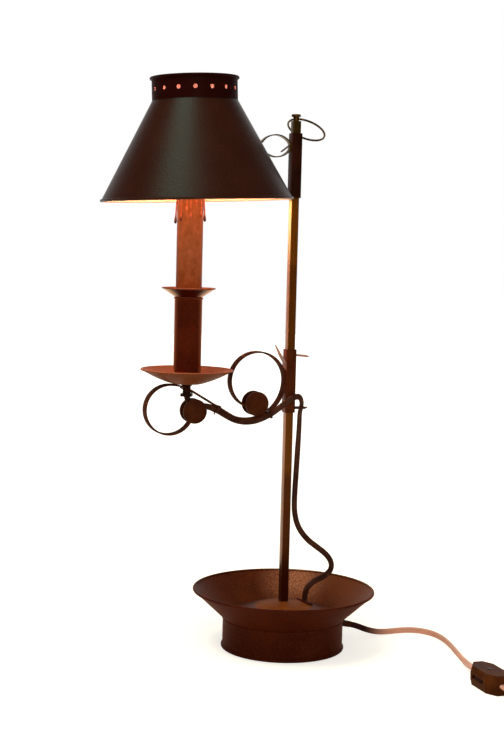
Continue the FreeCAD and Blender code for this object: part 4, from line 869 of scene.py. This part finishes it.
def make_arm():
    square_bar("arm_tube", SLEEVE, ARM, ARM + SLEEVE_LENGTH, finish["sleeve_brass"], "arm", ["arm_sleeve"],
               hollow=POST_SIDE / 2 + SLIDE_GAP)
    bent_strip("scroll", scroll_arcs(), STRIP_WIDTH, 1.9, finish["strip_brass"], "arm", ["scroll_strip"])

    flat, reach, depth, bulge, wall = 16.9, 37.8, 16.4, 1.6, 0.8
    under = [(4.95, 0), (flat, 0)]
    for t in [k / 8 for k in range(1, 8)]:
        under.append((flat + reach * t, depth * t - bulge * 4 * t * (1 - t)))
    lip = wired(54.2, depth, 1.0, 203, wall)
    over = [(r - 0.25, z + wall) for r, z in under][::-1]
    dish = turned("dish", under + lip + over, [finish["dish_under"], finish["dish_painted_bulb_light"]], "arm",
                  ["drip_dish"], at=(CANDLE_X, 0, DISH), steps=120)
    # Faces that look up take the colour painted bright for the bulb's light.
    for face in dish.data.polygons:
        face.material_index = 1 if face.normal.z > 0.1 else 0
    make_cup()
    make_candle()


def make_cup():
    rim = CUP_TOP + PAN_RISE
    slope = math.degrees(math.atan2(PAN_RISE, 14.75))
    lip = wired(31.05, rim, 0.9, slope + 180, 0.7)
    outline = [(4.95, 0), (CUP_RADIUS - 0.4, 0), (CUP_RADIUS, 0.4), (CUP_RADIUS, CUP_TOP - 3.4),
               (16.5, CUP_TOP - 3.1)]
    outline += arc(16.5, CUP_TOP - 2.1, 0.9, -80, 60, 6) + [(16.5, CUP_TOP - 1.0), (16.9, CUP_TOP)]
    outline += lip + [(16.4, CUP_TOP + 0.9), (15.6, CUP_TOP), (15.6, 0.7), (4.95, 0.7)]
    cup = turned("cup", outline, [finish["cup_tin"], finish["lip_tin"], finish["dish_painted_bulb_light"]], "arm",
                 ["candle_cup"], at=(CANDLE_X, 0, DISH + 0.8), steps=96)
    seam = (DISH + 0.8 + CUP_TOP - 1.2) / 1000
    # Above the seam, faces that look up take the colour painted bright for the bulb's light.
    for face in cup.data.polygons:
        face.material_index = 0
        if face.center.z > seam:
            face.material_index = 2 if face.normal.z > 0.1 else 1


def make_candle():
    low, high = DISH + 1.7, CANDLE_TOP
    outline = [(14.15, low), (CANDLE_RADIUS, low), (CANDLE_RADIUS, high - 2.0)]
    outline += arc(14.95, high - 0.6, 0.6, 0, 120, 4)
    outline += [(14.15, high - 1.0)]
    turned("candle_tube", outline, finish["wax"], "arm", ["candle_cover"], at=(CANDLE_X, 0, 0), steps=64)
    runs = [(166, 45, 1.7, 3.0), (-153, 42, 1.7, 0.6), (-124, 30, 1.1, 0), (-106, 40, 1.2, 0.2),
            (-82, 24, 1.2, 0), (-52, 38, 1.7, 0.8), (-14, 42, 1.7, 3.0), (22, 33, 1.5, 1.0),
            (60, 40, 1.7, 1.0), (102, 30, 1.5, 0.5), (136, 38, 1.6, 1.0)]
    bm = bmesh.new()
    for angle, length, half, flare in runs:
        outline = [(0.01, -length - half), (half * 0.6, -length - half * 0.8), (half, -length + 0.6),
                   (half * 0.9, -length + 3), (half * 0.55, -length + 8), (half * 0.5, -length * 0.5),
                   (half * 0.75, -9), (half * 1.1, -4), (half * 0.6, -1)]
        drop = bmesh.new()
        spin_outline(drop, outline, 12, closed=False)
        bmesh.ops.remove_doubles(drop, verts=drop.verts, dist=1e-5)
        bmesh.ops.rotate(drop, cent=(0, 0, 0), matrix=Matrix.Rotation(-math.radians(flare), 3, "Y"),
                         verts=drop.verts)
        bmesh.ops.translate(drop, vec=mm(CANDLE_RADIUS - half * 0.25, 0, CANDLE_TOP), verts=drop.verts)
        bmesh.ops.rotate(drop, cent=(0, 0, 0), matrix=Matrix.Rotation(math.radians(angle), 3, "Z"),
                         verts=drop.verts)
        bmesh.ops.translate(drop, vec=mm(CANDLE_X, 0, 0), verts=drop.verts)
        mesh = bpy.data.meshes.new("drop")
        drop.to_mesh(mesh)
        drop.free()
        bm.from_mesh(mesh)
        bpy.data.meshes.remove(mesh)
    place_piece("wax_drips", to_mesh("wax_drips", bm), finish["drip"], "arm", sharp=60.0)


def make_bulb():
    base = 550.0
    outline = [(10.9, base - 5), (10.9, base + 4), (12.5, base + 8)]
    outline += arc(0, base + 39.0, BULB_RADIUS, -35, 90, 20)
    turned("bulb", outline, finish["glass"], "arm", ["bulb_glass"], at=(CANDLE_X, 0, 0), steps=64,
           closed=False)


# Shade

def shade_move():
    return Matrix.Translation(SHADE_FOOT) @ Matrix.Rotation(SHADE_TILT, 4, "Y")


def make_shade():
    lean = math.degrees(math.atan2(SHADE_CONE, SHADE_HIGH - SHADE_LOW))
    outline = wired(SHADE_LOW, 0.0, SHADE_WIRE, lean, 0.6)
    outline += [(SHADE_HIGH + 0.26, SHADE_CONE), (SHADE_HIGH - 0.26, SHADE_CONE - 0.14)]
    skirt = turned("shade_skirt", outline, [finish["shade_tin"], finish["shade_lining"]], "shade",
                   ["shade_cone"], steps=192, move=shade_move())
    back = shade_move().inverted()
    for face in skirt.data.polygons:
        centre = back @ face.center * 1000
        normal = back.to_3x3() @ face.normal
        radial = Vector((centre.x, centre.y, 0)).normalized()
        face.material_index = 1 if normal.dot(radial) < -0.1 else 0

    inner, outer = SHADE_HIGH - 0.35, SHADE_HIGH + 0.25
    outline = [(inner, SHADE_CONE), (outer, SHADE_CONE)]
    outline += arc(SHADE_HIGH + 0.8, COLLAR_TOP, SHADE_WIRE, 251.1, 587.4, 20)
    collar = turned("collar", outline, [finish["collar_tin"], finish["collar_lining"]], "shade",
                    ["shade_collar"], steps=192)
    cutter = bmesh.new()
    for k in range(COLLAR_HOLES):
        turn = Matrix.Rotation(2 * math.pi * k / COLLAR_HOLES + math.radians(5.4), 4, "Z")
        turn = turn @ Matrix.Translation(mm(50, 0, SHADE_CONE + 12.6)) @ Matrix.Rotation(math.pi / 2, 4, "Y")
        bmesh.ops.create_cone(cutter, cap_ends=True, segments=20, radius1=0.0024, radius2=0.0024, depth=0.01,
                              matrix=turn)
    mesh = bpy.data.meshes.new("punch")
    cutter.to_mesh(mesh)
    cutter.free()
    punch = add_object("punch", mesh)
    cut = collar.modifiers.new("holes", "BOOLEAN")
    cut.object = punch
    cut.operation = "DIFFERENCE"
    finished(collar)
    bpy.data.objects.remove(punch)
    bpy.data.meshes.remove(mesh)
    mesh = collar.data
    for face in mesh.polygons:
        radial = Vector((face.center.x, face.center.y, 0)).normalized()
        face.material_index = 1 if face.normal.dot(radial) < -0.3 and face.center.z < 0.1375 else 0
    mesh.transform(shade_move())
    mesh.update()

    square_bar("shade_tube", SLEEVE, SHADE_SLEEVE, SHADE_SLEEVE + SLEEVE_LENGTH, finish["dark_brass"],
               "shade", ["shade_sleeve"], hollow=POST_SIDE / 2 + SLIDE_GAP)
    centre, height, reach, drop = -25.56, 611, 10.1, 9.085
    ends, long = 8.5, 22.085
    bent_strip("curl", [((centre - reach, height), ends, 197, 222), ((centre, height + drop), long, 222, 318),
                        ((centre + reach, height), ends, 318, 402), ((centre, height - drop), long, 402, 498),
                        ((centre - reach, height), ends, 498, 520)], 9.0, 1.3,
               finish["ring_brass"], "shade", ["shade_curl"])


def dress_nodes():
    plain = {"felt_pad": "felt", "clamp_spacer": "steel", "base_weight": "iron", "clamp_washer": "steel",
             "clamp_nut": "steel", "cord_plate": "tin", "side_bushing": "plastic",
             "switch_lower_shell": "plastic", "switch_upper_shell": "plastic", "switch_screw": "nut_brass",
             "switch_wheel": "relief", "switch_contacts": "contact", "plug_body": "plastic",
             "plug_blades": "contact", "arm_spring_leaf": "lit_brass", "arm_thumb_tab": "lit_brass",
             "scroll_discs": "disc_brass", "seat_washer": "nut_brass", "pipe_nuts": "nut_brass",
             "support_pipe": "nut_brass", "socket_body": "black", "socket_shell": "contact",
             "socket_contact": "contact", "bulb_cap": "contact", "cord_ties": "tie",
             "shade_thumb_tab": "sleeve_brass", "shade_lug": "dark_brass"}
    for name, key in plain.items():
        data = nodes[name].data
        data.materials.clear()
        data.materials.append(finish[key])


# Floor, background and lights

def make_room():
    bm = bmesh.new()
    bmesh.ops.create_grid(bm, x_segments=1, y_segments=1, size=6.0)
    bmesh.ops.translate(bm, vec=(0, 0, -0.0002), verts=bm.verts)
    mesh = bpy.data.meshes.new("table_top")
    bm.to_mesh(mesh)
    bm.free()
    floor = add_object("table_top", mesh)
    coat = Coat("table_top", **{"Specular IOR Level": 0.0, "Roughness": 1.0, "Emission Color": (1, 1, 1, 1)})
    coat.shader.inputs["Base Color"].default_value = (0.88, 0.8, 0.6, 1)
    beyond = coat.node("VectorMath", {"operation": "DOT_PRODUCT"}, {0: coat.place, 1: (0.345, 0.934, 0)},
                       out="Value").between(-0.2, 0.6)
    seen = coat.either(coat.ray("Camera"), coat.ray("Glossy") * beyond, coat.ray("Transmission"))
    away = coat.node("VectorMath", {"operation": "LENGTH"}, {0: coat.place}, out="Value").between(0.4, 2.0)
    coat.feed("Emission Strength", seen * (away * 0.25 + 0.6))
    mesh.materials.append(coat.material)

    world = bpy.data.worlds.new("studio")
    scene.world = world
    world.use_nodes = True
    sky = Graph(world.node_tree)
    way = sky.node("TexCoord", out="Generated")
    behind = sky.node("VectorMath", {"operation": "DOT_PRODUCT"}, {0: way, 1: (0.345, 0.934, 0)}, out="Value")
    backdrop = behind.between(0.45, 1.0) * 0.92 + 0.08
    level = backdrop * sky.ray("Glossy") + (1.0 - sky.ray("Glossy")) * 0.5
    level = sky.either(level, sky.ray("Camera"), sky.ray("Transmission"))
    back = sky.tree.nodes["Background"]
    back.inputs["Color"].default_value = (1, 1, 1, 1)
    sky.tree.links.new(level.socket, back.inputs["Strength"])


def lamp_light(name, kind, place, power, colour, size, aim=None):
    data = bpy.data.lights.new(name, kind)
    data.energy = power
    data.color = colour
    if kind == "AREA":
        data.shape = "RECTANGLE"
        data.size, data.size_y = size
    else:
        data.shadow_soft_size = size
    light = add_object(name, data)
    light.location = place
    if aim is not None:
        light.rotation_mode = "QUATERNION"
        light.rotation_quaternion = (Vector(aim) - Vector(place)).to_track_quat("-Z", "Y")
    return light


def make_lights():
    lamp_light("key", "AREA", (-0.76, -0.38, 1.91), 16, (1.0, 1.0, 0.97), (0.8, 0.8), (-0.12, 0, 0.6))
    lamp_light("softbox", "AREA", (-0.6, -1.9, 1.0), 7, (1.0, 1.0, 0.97), (0.7, 0.9), (-0.08, 0, 0.45))
    lamp_light("bulb_glow", "POINT", (-0.1303, 0, 0.589), 1.0, (0.92, 0.92, 0.8), 0.012)
    bpy.data.objects["bulb"].visible_shadow = False


def main():
    finish.update(make_finishes())
    aim_camera()
    make_drum_lead()
    make_mains_lead()
    make_coil_lead()
    make_arm_lead()
    make_base()
    make_post()
    make_carry_ring()
    make_arm()
    make_bulb()
    make_shade()
    dress_nodes()
    make_room()
    make_lights()


main()
scene.view_settings.view_transform = "Standard"
